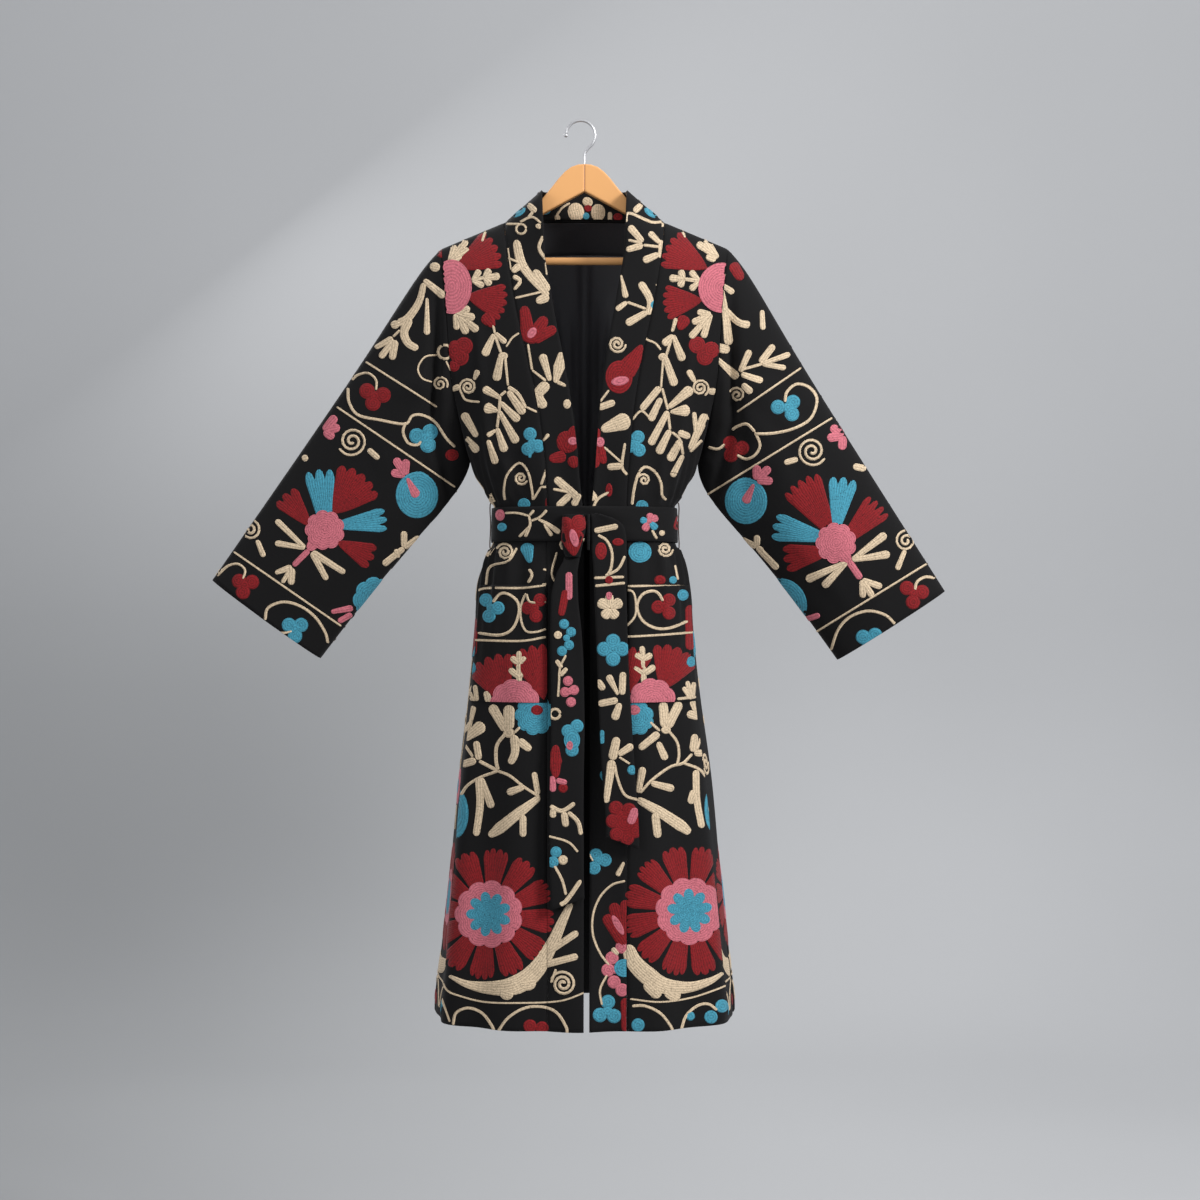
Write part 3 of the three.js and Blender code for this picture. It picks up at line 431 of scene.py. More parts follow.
class Panel:
    """A panel's outer face as a grid of points and outward directions, in metres."""

    # the search for page places: places at a time, passes, longest step and margin in cells
    batch, passes, stride, margin = 2000, 5, 3, 4

    def __init__(self, points: Array, out: Sequence[float], loop: bool = False) -> None:
        """Keeps the grid.

        Args:
            points: Rows and columns of points in millimetres, before the coat is centred.
            out: Rough outward direction at the middle of the grid.
            loop: Whether the last column lies on the first.
        """
        points = points + np.array([CUT.middle_x, 0, 0])
        by_row, by_column = np.gradient(points, axis=0), np.gradient(points, axis=1)
        if loop:
            by_column[:, 0] = by_column[:, -1] = points[:, 1] - points[:, -2]
        normals = np.cross(by_row, by_column)
        normals /= np.maximum(np.linalg.norm(normals, axis=-1, keepdims=True), 1e-9)
        middle = normals[points.shape[0] // 2, points.shape[1] // 2]
        self.facing = 1 if middle @ np.array(out) > 0 else -1
        self.points, self.normals = points * MM, normals * self.facing
        self.loop = loop

    def raised(self, high: float) -> "Panel":
        """A copy moved out by a height in millimetres."""
        return self.part(slice(None), slice(None), high)

    def part(self, rows: slice, columns: slice, high: float = 0) -> "Panel":
        """A copy of some rows and columns, moved out."""
        made = object.__new__(Panel)
        made.normals, made.facing = self.normals[rows, columns], self.facing
        made.points = self.points[rows, columns] + made.normals * high * MM
        made.loop = self.loop and columns == slice(None)
        return made

    def turned(self, high: float) -> "Panel":
        """A copy that faces the other way, moved to that side."""
        made = self.part(slice(None), slice(None), -high)
        made.normals, made.facing = -made.normals, -made.facing
        return made

    def at(self, row: Array, column: Array, high: Array) -> Array:
        """Points at fractional rows and columns, moved out by heights in millimetres."""
        rows, columns = self.points.shape[:2]
        i = np.clip(row.astype(int), 0, rows - 2)
        j = np.clip(column.astype(int), 0, columns - 2)
        s, t = (row - i)[:, None], (column - j)[:, None]

        def mixed(grid: Array) -> Array:
            upper = lerp(grid[i, j], grid[i, j + 1], t)
            return lerp(upper, lerp(grid[i + 1, j], grid[i + 1, j + 1], t), s)

        return mixed(self.points) + mixed(self.normals) * high[:, None] * MM

    def find(self, view: View, places: Array) -> tuple[Array, Array]:
        """Fractional rows and columns that a view sees at page places."""
        page = view.project(self.points)
        rows, columns = page.shape[:2]
        row, column = np.empty(len(places)), np.empty(len(places))
        flat = page.reshape(-1, 2)
        for start in range(0, len(places), self.batch):
            some = slice(start, start + self.batch)
            chunk = places[some]
            gap = (chunk[:, :1] - flat[:, 0]) ** 2 + (chunk[:, 1:] - flat[:, 1]) ** 2
            near = gap.argmin(1)
            row[some], column[some] = near // columns, near % columns
        for _ in range(self.passes):
            i = np.clip(row.astype(int), 0, rows - 2)
            j = np.clip(column.astype(int), 0, columns - 2)
            s, t = row - i, column - j
            a, b, c, d = page[i, j], page[i, j + 1], page[i + 1, j], page[i + 1, j + 1]
            s2, t2 = s[:, None], t[:, None]
            here = lerp(lerp(a, b, t2), lerp(c, d, t2), s2)
            down, across = lerp(c - a, d - b, t2), lerp(b - a, d - c, s2)
            miss = places - here
            area = down[:, 0] * across[:, 1] - down[:, 1] * across[:, 0]
            area = np.where(np.abs(area) < 1e-3, 1e-3, area)
            ds = (miss[:, 0] * across[:, 1] - miss[:, 1] * across[:, 0]) / area
            dt = (miss[:, 1] * down[:, 0] - miss[:, 0] * down[:, 1]) / area
            ds, dt = np.clip(ds, -self.stride, self.stride), np.clip(dt, -self.stride, self.stride)
            row = np.clip(row + ds, -self.margin, rows - 1 + self.margin)
            column = np.clip(column + dt, -self.margin, columns - 1 + self.margin)
        return row, column


class Socket:
    """A shader value that takes part in Python expressions."""

    def __init__(self, nodes: "Nodes", link: bpy.types.NodeSocket) -> None:
        """Wraps an output socket."""
        self.nodes, self.link = nodes, link

    def _math(self, kind: str, *values: "Socket | float") -> "Socket":
        """Adds one Math node."""
        return self.nodes.add("ShaderNodeMath", {"operation": kind}, dict(enumerate(values)))

    def __add__(self, other: "Socket | float") -> "Socket":
        """Sum."""
        return self._math("ADD", self, other)

    def __sub__(self, other: "Socket | float") -> "Socket":
        """Difference."""
        return self._math("SUBTRACT", self, other)

    def __rsub__(self, other: float) -> "Socket":
        """Difference from a number."""
        return self._math("SUBTRACT", other, self)

    def __mul__(self, other: "Socket | float") -> "Socket":
        """Product."""
        return self._math("MULTIPLY", self, other)

    __radd__, __rmul__ = __add__, __mul__

    def sine(self) -> "Socket":
        """Sine of the value."""
        return self._math("SINE", self)

    def absolute(self) -> "Socket":
        """The value without its sign."""
        return self._math("ABSOLUTE", self)

    def power(self, exponent: float) -> "Socket":
        """The value to a power."""
        return self._math("POWER", self, exponent)


class Nodes:
    """A material and the nodes in it."""

    def __init__(self, name: str) -> None:
        """Starts an empty node tree."""
        self.material = bpy.data.materials.new(name)
        self.material.use_nodes = True
        self.tree = self.material.node_tree
        self.tree.nodes.clear()

    def add(
        self, kind: str, settings: dict[str, object], values: dict[object, object], out: object = 0
    ) -> Socket:
        """Adds any node.

        Args:
            kind: The node's type.
            settings: Its properties, and `stops` for a ramp's places and colours.
            values: Values or sockets for its inputs, by name or number.
            out: The output that is wanted.

        Returns:
            That output.
        """
        node = self.tree.nodes.new(kind)
        for name, value in settings.items():
            if name == "stops":
                ramp = node.color_ramp
                for k, (place, colour) in enumerate(value):
                    stop = ramp.elements[k] if k < 2 else ramp.elements.new(place)
                    stop.position, stop.color = place, (*colour, 1)
            else:
                setattr(node, name, value)
        for name, value in values.items():
            if isinstance(value, Socket):
                self.tree.links.new(value.link, node.inputs[name])
            else:
                node.inputs[name].default_value = value
        return Socket(self, node.outputs[out])

    def place(self) -> Socket:
        """Object coordinates."""
        return self.add("ShaderNodeTexCoord", {}, {}, "Object")

    def noise(self, at: Socket, scale: float, detail: float = 3, out: str = "Fac", **more: float) -> Socket:
        """Noise of a scale, in parts of a metre."""
        values = {"Vector": at, "Scale": scale, "Detail": detail, **more}
        return self.add("ShaderNodeTexNoise", {}, values, out)

    def mix(self, share: Socket | float, low: object, high: object, kind: str = "MIX") -> Socket:
        """Mix of two colours."""
        low, high = (
            value if isinstance(value, Socket) else (*value, 1) for value in (low, high)
        )
        settings = {"data_type": "RGBA", "blend_type": kind}
        return self.add("ShaderNodeMix", settings, {0: share, 6: low, 7: high}, 2)

    def scaled(self, at: Socket, scale: Sequence[float]) -> Socket:
        """Coordinates stretched by a scale."""
        return self.add("ShaderNodeMapping", {}, {"Vector": at, "Scale": scale})

    def split(self, at: Socket) -> tuple[Socket, Socket, Socket]:
        """The three parts of a vector."""
        first = self.add("ShaderNodeSeparateXYZ", {}, {0: at})
        outputs = first.link.node.outputs
        return first, Socket(self, outputs[1]), Socket(self, outputs[2])

    def bump(self, height: Socket, strength: float, distance: float, under: Socket | None = None) -> Socket:
        """A bump from a height in metres times the distance."""
        values = {"Height": height, "Strength": strength, "Distance": distance}
        if under:
            values["Normal"] = under
        return self.add("ShaderNodeBump", {}, values)

    def finish(self, **values: object) -> bpy.types.Material:
        """Closes the tree with one shader; underscores stand for spaces."""
        named = {key.replace("_", " "): value for key, value in values.items()}
        shader = self.add("ShaderNodeBsdfPrincipled", {}, named)
        output = self.tree.nodes.new("ShaderNodeOutputMaterial")
        self.tree.links.new(shader.link, output.inputs["Surface"])
        return self.material


Colour = tuple[float, float, float]


def from_screen(red: float, green: float, blue: float) -> Colour:
    """Linear colour from 0 to 255 screen values."""
    shares = (red / 255, green / 255, blue / 255)
    return tuple(((v + 0.055) / 1.055) ** 2.4 if v > 10 / 255 else v / 12.92 for v in shares)


@dataclass(frozen=True)
class Cloth:
    """Woven cloth: its colour, the weave's pitch in metres and how it takes light."""

    name: str
    colour: Colour
    pitch: float
    rough: float = 0.8
    sheen: float = 0.15
    depth: float = 0.0002
    nap: float = 0.35
    shine: float = 0.16

    def material(self) -> bpy.types.Material:
        """Builds the material."""
        nodes = Nodes(self.name)
        at = nodes.place()
        x, y, z = nodes.split(at)
        k = 2 * math.pi / self.pitch
        twill = (((x + y) * k + z * k * 0.9).sine() + ((x + y) * k - z * k * 0.9).sine()) * 0.25 + 0.5
        cloud = nodes.noise(at, 9, 4)
        fuzz = nodes.noise(at, 420, 5)
        share = cloud * 0.45 + fuzz * 0.35 + twill * 0.2
        pale = tuple(min(1, c * (1 + 1.5 * self.nap) + 0.002) for c in self.colour)
        dark = tuple(c * (1 - self.nap) for c in self.colour)
        height = twill * 0.5 + fuzz * 0.8
        return nodes.finish(
            Base_Color=nodes.mix(share, dark, pale),
            Roughness=cloud * 0.12 + (self.rough - 0.06),
            Normal=nodes.bump(height, 0.5, self.depth),
            Sheen_Weight=self.sheen,
            Sheen_Roughness=0.5,
            Sheen_Tint=(0.9, 0.88, 0.9, 1),
            Specular_IOR_Level=self.shine,
        )


@dataclass(frozen=True)
class Stitches:
    """Chain-stitched thread: rows that follow the shape, pits and a soft nap, with painted shade darkening
    the grooves between the rows and the pits.
    """

    name: str
    colour: Colour
    # dark: share of the thread's colour at the dark end of its tone, the painted shade of the grooves and,
    # darker still, of the pits
    dark: float = 0.55

    row = 0.0034
    link = 0.0058

    def material(self) -> bpy.types.Material:
        """Builds the material; the stitch map runs along and across the rows in metres."""
        nodes = Nodes(self.name)
        at = nodes.place()
        stitch = nodes.add("ShaderNodeUVMap", {"uv_map": "stitch"}, {})
        along, across, _ = nodes.split(stitch)
        wander = nodes.noise(at, 110, 2) - 0.5
        row = (across * (2 * math.pi / self.row) + wander * 5).sine() * 0.5 + 0.5
        link = (along * (2 * math.pi / self.link) + wander * 9 + row * 1.5).sine() * 0.5 + 0.5
        fuzz = nodes.noise(at, 420, 5)
        pits = nodes.add(
            "ShaderNodeValToRGB",
            {"stops": ((0.29, (0, 0, 0)), (0.4, (1, 1, 1)))},
            {0: nodes.noise(at, 520, 2)},
        )
        cloud = nodes.noise(at, 28, 3)
        # The tone is partly painted shade, darker in the grooves between the rows, and partly random, with
        # the fuzz and the cloud.
        share = row.power(0.6) * 0.42 + link * 0.1 + (fuzz - 0.5) * 1.1 + cloud * 0.35
        low = tuple(c * self.dark for c in self.colour)
        high = tuple(min(1, c * 1.28 + 0.004) for c in self.colour)
        tone = nodes.mix(share, low, high)
        # Painted shade: the pits take a darker copy of the thread's colour.
        colour_with_painted_pit_shade = nodes.mix(pits, tuple(c * self.dark * 0.75 for c in self.colour), tone)
        height = row * 0.55 + link * 0.2 + fuzz * 0.5 + pits * 0.4
        return nodes.finish(
            Base_Color=colour_with_painted_pit_shade,
            Roughness=fuzz * 0.1 + 0.78,
            Normal=nodes.bump(height, 0.7, 0.0006),
            Sheen_Weight=0.08,
            Sheen_Roughness=0.5,
            Specular_IOR_Level=0.25,
        )


@dataclass(frozen=True)
class Wood:
    """Varnished pale wood whose grain slants up to the middle on both arms."""

    name: str = "wood"
    colour: Colour = from_screen(184, 116, 62)
    slant: float = 0.42

    def material(self) -> bpy.types.Material:
        """Builds the material."""
        nodes = Nodes(self.name)
        at = nodes.place()
        x, y, z = nodes.split(at)
        lean = (x - CUT.middle_x * MM).absolute() * self.slant
        grain_at = nodes.add(
            "ShaderNodeCombineXYZ", {}, {0: (x - CUT.middle_x * MM) * 0.12, 1: y * 0.6, 2: z + lean}
        )
        wide = nodes.noise(grain_at, 60, 4)
        fine = nodes.noise(grain_at, 520, 5)
        lines = ((z + lean) * 900 + wide * 22).sine() * 0.5 + 0.5
        share = wide * 0.5 + fine * 0.3 + lines * 0.2
        dark = tuple(c * 0.62 for c in self.colour)
        pale = tuple(min(1, c * 1.3) for c in self.colour)
        return nodes.finish(
            Base_Color=nodes.mix(share, dark, pale),
            Roughness=fine * 0.15 + 0.33,
            Normal=nodes.bump(fine, 0.15, 0.0002),
            Coat_Weight=0.25,
            Coat_Roughness=0.25,
        )


@dataclass(frozen=True)
class Steel:
    """Drawn steel wire with fine marks along it."""

    name: str = "steel"
    colour: Colour = (0.62, 0.61, 0.6)

    def material(self) -> bpy.types.Material:
        """Builds the material."""
        nodes = Nodes(self.name)
        at = nodes.place()
        marks = nodes.noise(nodes.scaled(at, (900, 900, 120)), 1, 3)
        cloud = nodes.noise(at, 60, 3)
        return nodes.finish(
            Base_Color=nodes.mix(cloud, tuple(c * 0.8 for c in self.colour), self.colour),
            Metallic=1.0,
            Roughness=marks * 0.14 + 0.2,
            Normal=nodes.bump(marks, 0.1, 0.00005),
        )


class Finish(Enum):
    """The finishes, each built once."""

    CLOTH = Cloth("black_cloth", (0.0036, 0.0033, 0.0035), 0.0012, 0.88, 0.035)
    # Painted light: the facing and the lining are paler than their own near-black cloth, standing in for the
    # light that barely reaches inside the coat.
    FACING = Cloth("facing_cloth_painted_light", (0.024, 0.023, 0.026), 0.0009, 0.75, 0.1)
    LINING = Cloth("lining_cloth_painted_light", (0.047, 0.045, 0.051), 0.0006, 0.45, 0.12, 0.00006, 0.2, 0.35)
    CORD = Cloth("cord_thread", (0.05, 0.026, 0.016), 0.0016, 0.8, 0.1)
    CREAM = Stitches("thread_cream", from_screen(206, 184, 154), 0.5)
    RED = Stitches("thread_red", from_screen(128, 10, 17), 0.4)
    PINK = Stitches("thread_pink", from_screen(190, 102, 114), 0.55)
    BLUE = Stitches("thread_blue", from_screen(62, 140, 162), 0.5)
    WOOD = Wood()
    STEEL = Steel()

    def material(self) -> bpy.types.Material:
        """The finish's material, made at its first use."""
        return bpy.data.materials.get(self.value.name) or self.value.material()


def piece(
    name: str, mesh: bmesh.types.BMesh, finishes: Sequence[Finish], slot: str | None = None
) -> bpy.types.Object:
    """Closes a mesh as a piece that rides with the coat.

    Args:
        name: The piece.
        mesh: Its form, in metres, which is freed.
        finishes: Its materials, by index.
        slot: Not used.

    Returns:
        The piece.
    """
    data = bpy.data.meshes.new(name)
    mesh.to_mesh(data)
    mesh.free()
    data.shade_smooth()
    for finish in finishes:
        data.materials.append(finish.material())
    made = bpy.data.objects.new(name, data)
    bpy.context.scene.collection.objects.link(made)
    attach(made, "root")
    return made


def gridded(panel: Panel) -> bmesh.types.BMesh:
    """A mesh with one face for each cell of a panel's grid."""
    rows, columns = panel.points.shape[:2]
    mesh = bmesh.new()
    made = bmesh.ops.create_grid(mesh, x_segments=columns - 1, y_segments=rows - 1, size=0.5)
    for vert in made["verts"]:
        column = round((vert.co.x + 0.5) * (columns - 1))
        row = round((vert.co.y + 0.5) * (rows - 1))
        vert.co = panel.points[row, column]
    return mesh


def shell(name: str, panel: Panel, thick: float, finish: Finish, slot: str) -> bpy.types.Object:
    """A cloth wall: the panel's grid, thickened inwards.

    Args:
        name: The piece.
        panel: Its outer face.
        thick: The wall in millimetres.
        finish: Its finish.
        slot: Passed on to piece, which does not use it.

    Returns:
        The piece.
    """
    mesh = gridded(panel)
    mesh.normal_update()
    if panel.facing > 0:
        bmesh.ops.reverse_faces(mesh, faces=mesh.faces)
    if panel.loop:
        bmesh.ops.remove_doubles(mesh, verts=mesh.verts, dist=1e-6)
    made = piece(name, mesh, [finish], slot)
    wall = made.modifiers.new("wall", "SOLIDIFY")
    wall.thickness = thick * MM
    wall.offset = -1
    wall.use_even_offset = False
    return made


def spaced(stops: Sequence[tuple[float, int]]) -> Array:
    """Shares from stop to stop, each with its number of steps."""
    parts = [np.array([stops[0][0]])]
    for (start, _), (end, count) in zip(stops, stops[1:], strict=False):
        parts.append(np.linspace(start, end, count + 1)[1:])
    return np.concatenate(parts)


class Coat:
    """The coat's cloth: panels with seams, folds and the belt."""

    sleeve_half = 48  # columns of half a sleeve
    pocket_top, pocket_bottom, pocket_wide = -672, -837, 11 / 14
    belt_top, belt_bottom = -561, -610
    facing_rises = (0.86, 0.999)  # height shares over the armpit that the neck facing covers
    lining_rise, lining_z = 0.865, -610
    beside_neck = 0.08  # how far facing and lining go on beyond the neck, as a share of the back
    # from, to, around, turn, spread, high: finer creases over those of the cut
    sleeve_folds = (
        (0.01, 0.19, 52, 104, 19, -15),
        (0.03, 0.3, 90, 46, 10, -6),
        (0, 0.32, 112, -52, 8, 5.2),
        (0.01, 0.36, 133, -38, 6, -4.6),
        (0, 0.28, 155, -26, 7, 5),
        (0.04, 0.5, 96, -34, 7, 2.6),
        (0.15, 0.75, 66, 22, 11, 2),
        (0.35, 0.95, 132, -20, 9, 2.2),
        (0.5, 1.1, 84, 14, 12, 1.6),
        (0, 0.34, 238, 46, 8, 5),
        (0.02, 0.4, 216, 32, 7, -4.2),
        (0.1, 0.65, 276, -24, 11, 2.6),
        (0.4, 1.05, 250, 18, 12, 1.8),
    )
    # place across the back, lean, width and height of the lining's creases
    lining_creases = (
        (-0.1, 0.2, 0.014, 3.4),
        (-0.045, -0.16, 0.013, 2.6),
        (0.05, 0.14, 0.013, 3),
        (0.11, -0.22, 0.015, 3.4),
    )
    # panel, width, length, area in metres, how it is held, what it hangs from
    sheets = (
        ("front", 0.26, 1.17, 0.23, "hung", "hanger_arm"),
        ("band", 0.06, 1.22, 0.06, "hung", "cloth_front"),
        ("pocket", 0.13, 0.165, 0.0205, "hung", "cloth_front"),
        ("sleeve", 0.66, 0.48, 0.23, "hung", "cloth_front"),
        ("back", 0.66, 1.18, 0.58, "hung", "hanger_arm_left"),
        ("collar_back", 0.28, 0.07, 0.0155, "folded", "cloth_back"),
        ("neck_facing", 0.3, 0.055, 0.0135, "hung", "cloth_back"),
        ("lining_back", 0.34, 0.43, 0.125, "hung", "cloth_back"),
        ("belt_round", 0.05, 0.8, 0.0395, "draped", "cloth_back"),
        ("belt_tail", 0.05, 0.49, 0.0225, "hung", "cloth_belt_round"),
    )

    def __init__(self) -> None:
        """Works out every panel's outer face."""
        upper = (np.linspace(0, 1, 46) ** 1.5) * CUT.armpit_row
        lower = np.linspace(CUT.armpit_row, 1, 124)[1:]
        self.rows = np.concatenate([upper, lower])
        self.columns = np.linspace(0, 1, 41)
        self.panels: dict[str, Panel] = {}
        self.pieces: dict[str, bpy.types.Object] = {}
        for side, word in SIDES.items():
            self._front(side, word)
            self._sleeve(side, word)
        self._back()
        self._belt()

    def _grid(self, columns: Array, rows: Array) -> tuple[Array, Array]:
        """Two arrays of columns and rows."""
        column, row = np.meshgrid(columns, rows)
        return column, row

    def _seam(
        self, panel: Panel, left: float = 1, right: float = 1, top: float = 1, bottom: float = 0
    ) -> Panel:
        """Rolls a panel's edges in at its seams.

        Args:
            panel: The panel.
            left: Depth in millimetres at the first column.
            right: Depth at the last column.
            top: Depth at the first row.
            bottom: Depth at the last row.

        Returns:
            The panel, with its edges moved in.
        """
        rows, columns = panel.points.shape[:2]
        down = np.zeros((rows, columns))
        for depth, index, axis in ((left, 0, 1), (right, -1, 1), (top, 0, 0), (bottom, -1, 0)):
            edge = [slice(None), slice(None)]
            edge[axis] = index
            down[tuple(edge)] = np.maximum(down[tuple(edge)], depth)
        panel.points -= panel.normals * down[..., None] * MM
        return panel

    def _folded(self, points: Array, out: Sequence[float], phase: float = 0) -> Panel:
        """A panel of the body with its soft folds."""
        panel = Panel(points, out)
        panel.points += panel.normals * CUT.folds(points, phase)[..., None] * MM
        return panel

    def _front(self, side: int, word: str) -> None:
        """A front, its band and its pocket."""
        column, row = self._grid(self.columns, self.rows)
        out = (side * 0.3, -1, 0.2)
        front = self._folded(CUT.front(side, column, row), out)
        self.panels[f"front_{word}"] = self._seam(front)
        column, row = self._grid(np.linspace(0, 1, 13), self.rows)
        band = self._folded(CUT.band(side, column, row), out)
        self.panels[f"band_{word}"] = self._seam(band, 1, 0, 0.5)
        top, bottom = CUT.row_at_height(self.pocket_top), CUT.row_at_height(self.pocket_bottom)
        column, row = self._grid(np.linspace(0, self.pocket_wide, 34), np.linspace(top, bottom, 30))
        pocket = self._folded(CUT.front(side, column, row), out).raised(CUT.lift + 1.7)
        self.panels[f"pocket_{word}"] = self._seam(pocket, 0.9, 0.9, 0, 0.9)

    def _sleeve(self, side: int, word: str) -> None:
        """A sleeve: the front half comes first round it."""
        half = self.sleeve_half
        angle, along = self._grid(np.linspace(0, 2 * np.pi, 2 * half + 1), np.linspace(0, 1, 84) ** 1.1)
        sleeve = Panel(CUT.sleeve(side, angle, along), (0, -1, 0), loop=True)
        middle = Panel(CUT.sleeve(side, angle, along)[:, : half + 1], (0, -1, 0))
        if middle.facing != sleeve.facing:
            sleeve.normals, sleeve.facing = -sleeve.normals, middle.facing
        push = creased(np.degrees(angle), along, self.sleeve_folds, 0.7, 0.05)
        sleeve.points += sleeve.normals * push[..., None] * MM
        self.panels[f"sleeve_{word}"] = self._seam(sleeve, 0, 0, 1)

    def _back(self) -> None:
        """The back, the collar, the facing and the lining."""
        neck = CUT.neck_angle / (np.pi / 2)
        half = spaced([(0, 0), (neck, 18), (1, 24)])
        columns = np.concatenate([-half[:0:-1], half])
        column, row = self._grid(columns, self.rows)
        back = self._folded(CUT.back(column, row), (0, 1, 0), 1.7)
        self.panels["back"] = self._seam(back, top=0)
        turn, across = np.meshgrid(np.linspace(-1, 1, 61), np.linspace(0, 1, 13))
        self.panels["collar_back"] = Panel(CUT.collar(across, turn), (0, 1, 0.3))
        inside = np.abs(columns) < neck + self.beside_neck
        high = CUT.rise_of(self.rows)
        plain = Panel(CUT.back(column, row), (0, 1, 0)).turned(CUT.cloth + CUT.lift + 1.3)
        rows = (high > self.facing_rises[0]) & (high < self.facing_rises[1])
        self.panels["neck_facing"] = self._pick(plain, rows, inside)
        rows = (high < self.lining_rise) & (self.rows < CUT.row_at_height(self.lining_z))
        lining = self._pick(plain, rows, inside)
        column, row = self._grid(columns[inside], self.rows[rows])
        pleat = 7 * np.exp(-((column / 0.016) ** 2))
        drape = 0.4 + pleat + 1.6 * (1 + np.cos(column * 26 + 1)) * smooth((row - 0.06) / 0.1)
        for at, lean, wide, high in self.lining_creases:
            away = (column - at - lean * (row - 0.2)) / wide
            drape += high * np.exp(-away * away) * smooth((row - 0.07) / 0.08)
        lining.points += lining.normals * drape[..., None] * MM
        self.panels["lining_back"] = lining

    def _pick(self, panel: Panel, rows: Array, columns: Array) -> Panel:
        """A copy of the rows and columns that two masks name."""
        made = object.__new__(Panel)
        made.points = panel.points[rows][:, columns].copy()
        made.normals = panel.normals[rows][:, columns].copy()
        made.facing, made.loop = panel.facing, False
        return made

    def _belt(self) -> None:
        """The belt round the waist and its two hanging ends."""
        top, bottom = self.belt_top, self.belt_bottom
        middle, half = (top + bottom) / 2, (top - bottom) / 2
        turn, down = self._grid(np.linspace(-np.pi, np.pi, 241), np.linspace(top, bottom, 13))
        edge = 1 - np.abs((down - middle) / half) ** 6
        near = np.exp(-((turn / 0.5) ** 2))
        crease = 0.9 * np.sin(down / 3.6 + turn * 9) * near
        off = 4.0 + 0.5 * edge + crease
        self.panels["belt_round"] = Panel(CUT.waist(turn, down, off), (0, -1, 0), loop=True)
        tails = {
            "left": (
                ((-633.35, -28, -6, 2.6), (-655, -38, -9, 4), (-690, -46, -8, 3.2), (-740, -47, -3, 2.4))
                + ((-800, -46, 0, 1.8), (-870, -46, 1, 1.8), (-940, -47, 0, 1.8), (-1010, -48, -1, 1.8))
                + ((-1070, -47, 0, 1.8), (-1114, -46, 1, 1.8)),
                16,
            ),
            "right": (
                ((-572, 10, 22, 5.4), (-579, 9.2, 44, 5.2), (-592, 8.9, 57, 5.0), (-614, 10, 60, 5.0))
                + ((-650, 13, 59, 4.0), (-700, 15, 60, 2.6), (-770, 18, 62, 2.0), (-850, 21, 66, 1.8))
                + ((-930, 25, 71, 1.8), (-1030, 31, 77, 1.8)),
                -17,
            ),
        }
        for word, (rows, slant) in tails.items():
            table = Table("z start end off", rows)
            share, z = self._grid(np.linspace(0, 1, 15), np.linspace(rows[0][0], rows[-1][0], 90))
            start, end, off = (table.read(name, z) for name in ("start", "end", "off"))
            x = lerp(start, end, share)
            near = np.minimum(np.minimum(np.abs(start), np.abs(end)), np.abs(x))
            low = smooth((rows[-2][0] - z) / (rows[-2][0] - rows[-1][0]))
            z = z + slant * (share - 0.5) * low
            bend = 1.2 * np.sin(share * np.pi * 2 + z / 60) * 0.5
            edge = 0.8 * np.abs(2 * share - 1) ** 8
            deep = -(CUT.skirt_depth(near, z) + off + 2.8 + bend - edge)
            self.panels[f"belt_tail_{word}"] = Panel(stack(x, deep, z), (0, -1, 0))

    def build(self) -> None:
        """Makes the cloth pieces and hides the solids that they stand for."""
        cut = {
            "front": (CUT.cloth, Finish.CLOTH, "cloth"),
            "band": (CUT.cloth, Finish.CLOTH, "cloth"),
            "pocket": (1.6, Finish.CLOTH, "cloth"),
            "sleeve": (CUT.cloth, Finish.CLOTH, "cloth"),
            "back": (CUT.cloth, Finish.CLOTH, "cloth"),
            "collar_back": (CUT.cloth, Finish.CLOTH, "cloth"),
            "neck_facing": (1.2, Finish.FACING, "facing"),
            "lining_back": (1.2, Finish.LINING, "lining"),
            "belt_round": (2.4, Finish.CLOTH, "cloth"),
            "belt_tail": (2.2, Finish.CLOTH, "cloth"),
        }
        for name, panel in self.panels.items():
            kind = name.removesuffix("_left").removesuffix("_right")
            thick, finish, slot = cut[kind]
            made = shell(f"cloth_{name}", panel, thick, finish, slot)
            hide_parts(name)
            self.pieces[name] = made
            LOG.info("%s: %d points", made.name, len(made.data.vertices))

    def declare(self, sewn: dict[str, list[bpy.types.Object]]) -> None:
        """Looks up every cloth piece's size, hold and carrier in the sheet table, and the work sewn on it;
        nothing is declared with them.

        Args:
            sewn: The needlework and wraps that go with each panel.
        """
        for name, made in self.pieces.items():
            word = "_left" if name.endswith("_left") else "_right" if name.endswith("_right") else ""
            row = next(r for r in self.sheets if r[0] == name.removesuffix(word))
            _, wide, long, area, held, carrier = row
            if carrier in ("hanger_arm", "cloth_front"):
                carrier += word
            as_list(sewn.get(name, []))


class Page:
    """Needlework laid out flat on a view's page, then sewn on a panel.

    A design is a text of lines. Each line has a kind, a thread and the kind's own columns, in
    pixels of the picture and degrees from the right, clockwise:
      s  a stroke: width at its start, width at its end, then the points that it follows
      v  a stroke of uneven width: width, x and y for each point
      d  a disc: x, y, half width, half height, turn
      f  a fan: x, y of its point, direction, spread, reach, lobes, share where it starts
      l  a round with a scalloped rim: x, y, radius, lobes, depth
      o  discs of one size: radius, then x and y of each
      q  petals round a middle: x, y, number, inner and outer radius, spread
      r  a ring: x, y, radius, width
      t  a tuft: width at its root and at its tips, its root, then each tip
      w  a whorl: x, y, radius, width, where it starts, turns
    A capital letter for the thread lays the motif on top of what is under it, and two do so twice.
    """

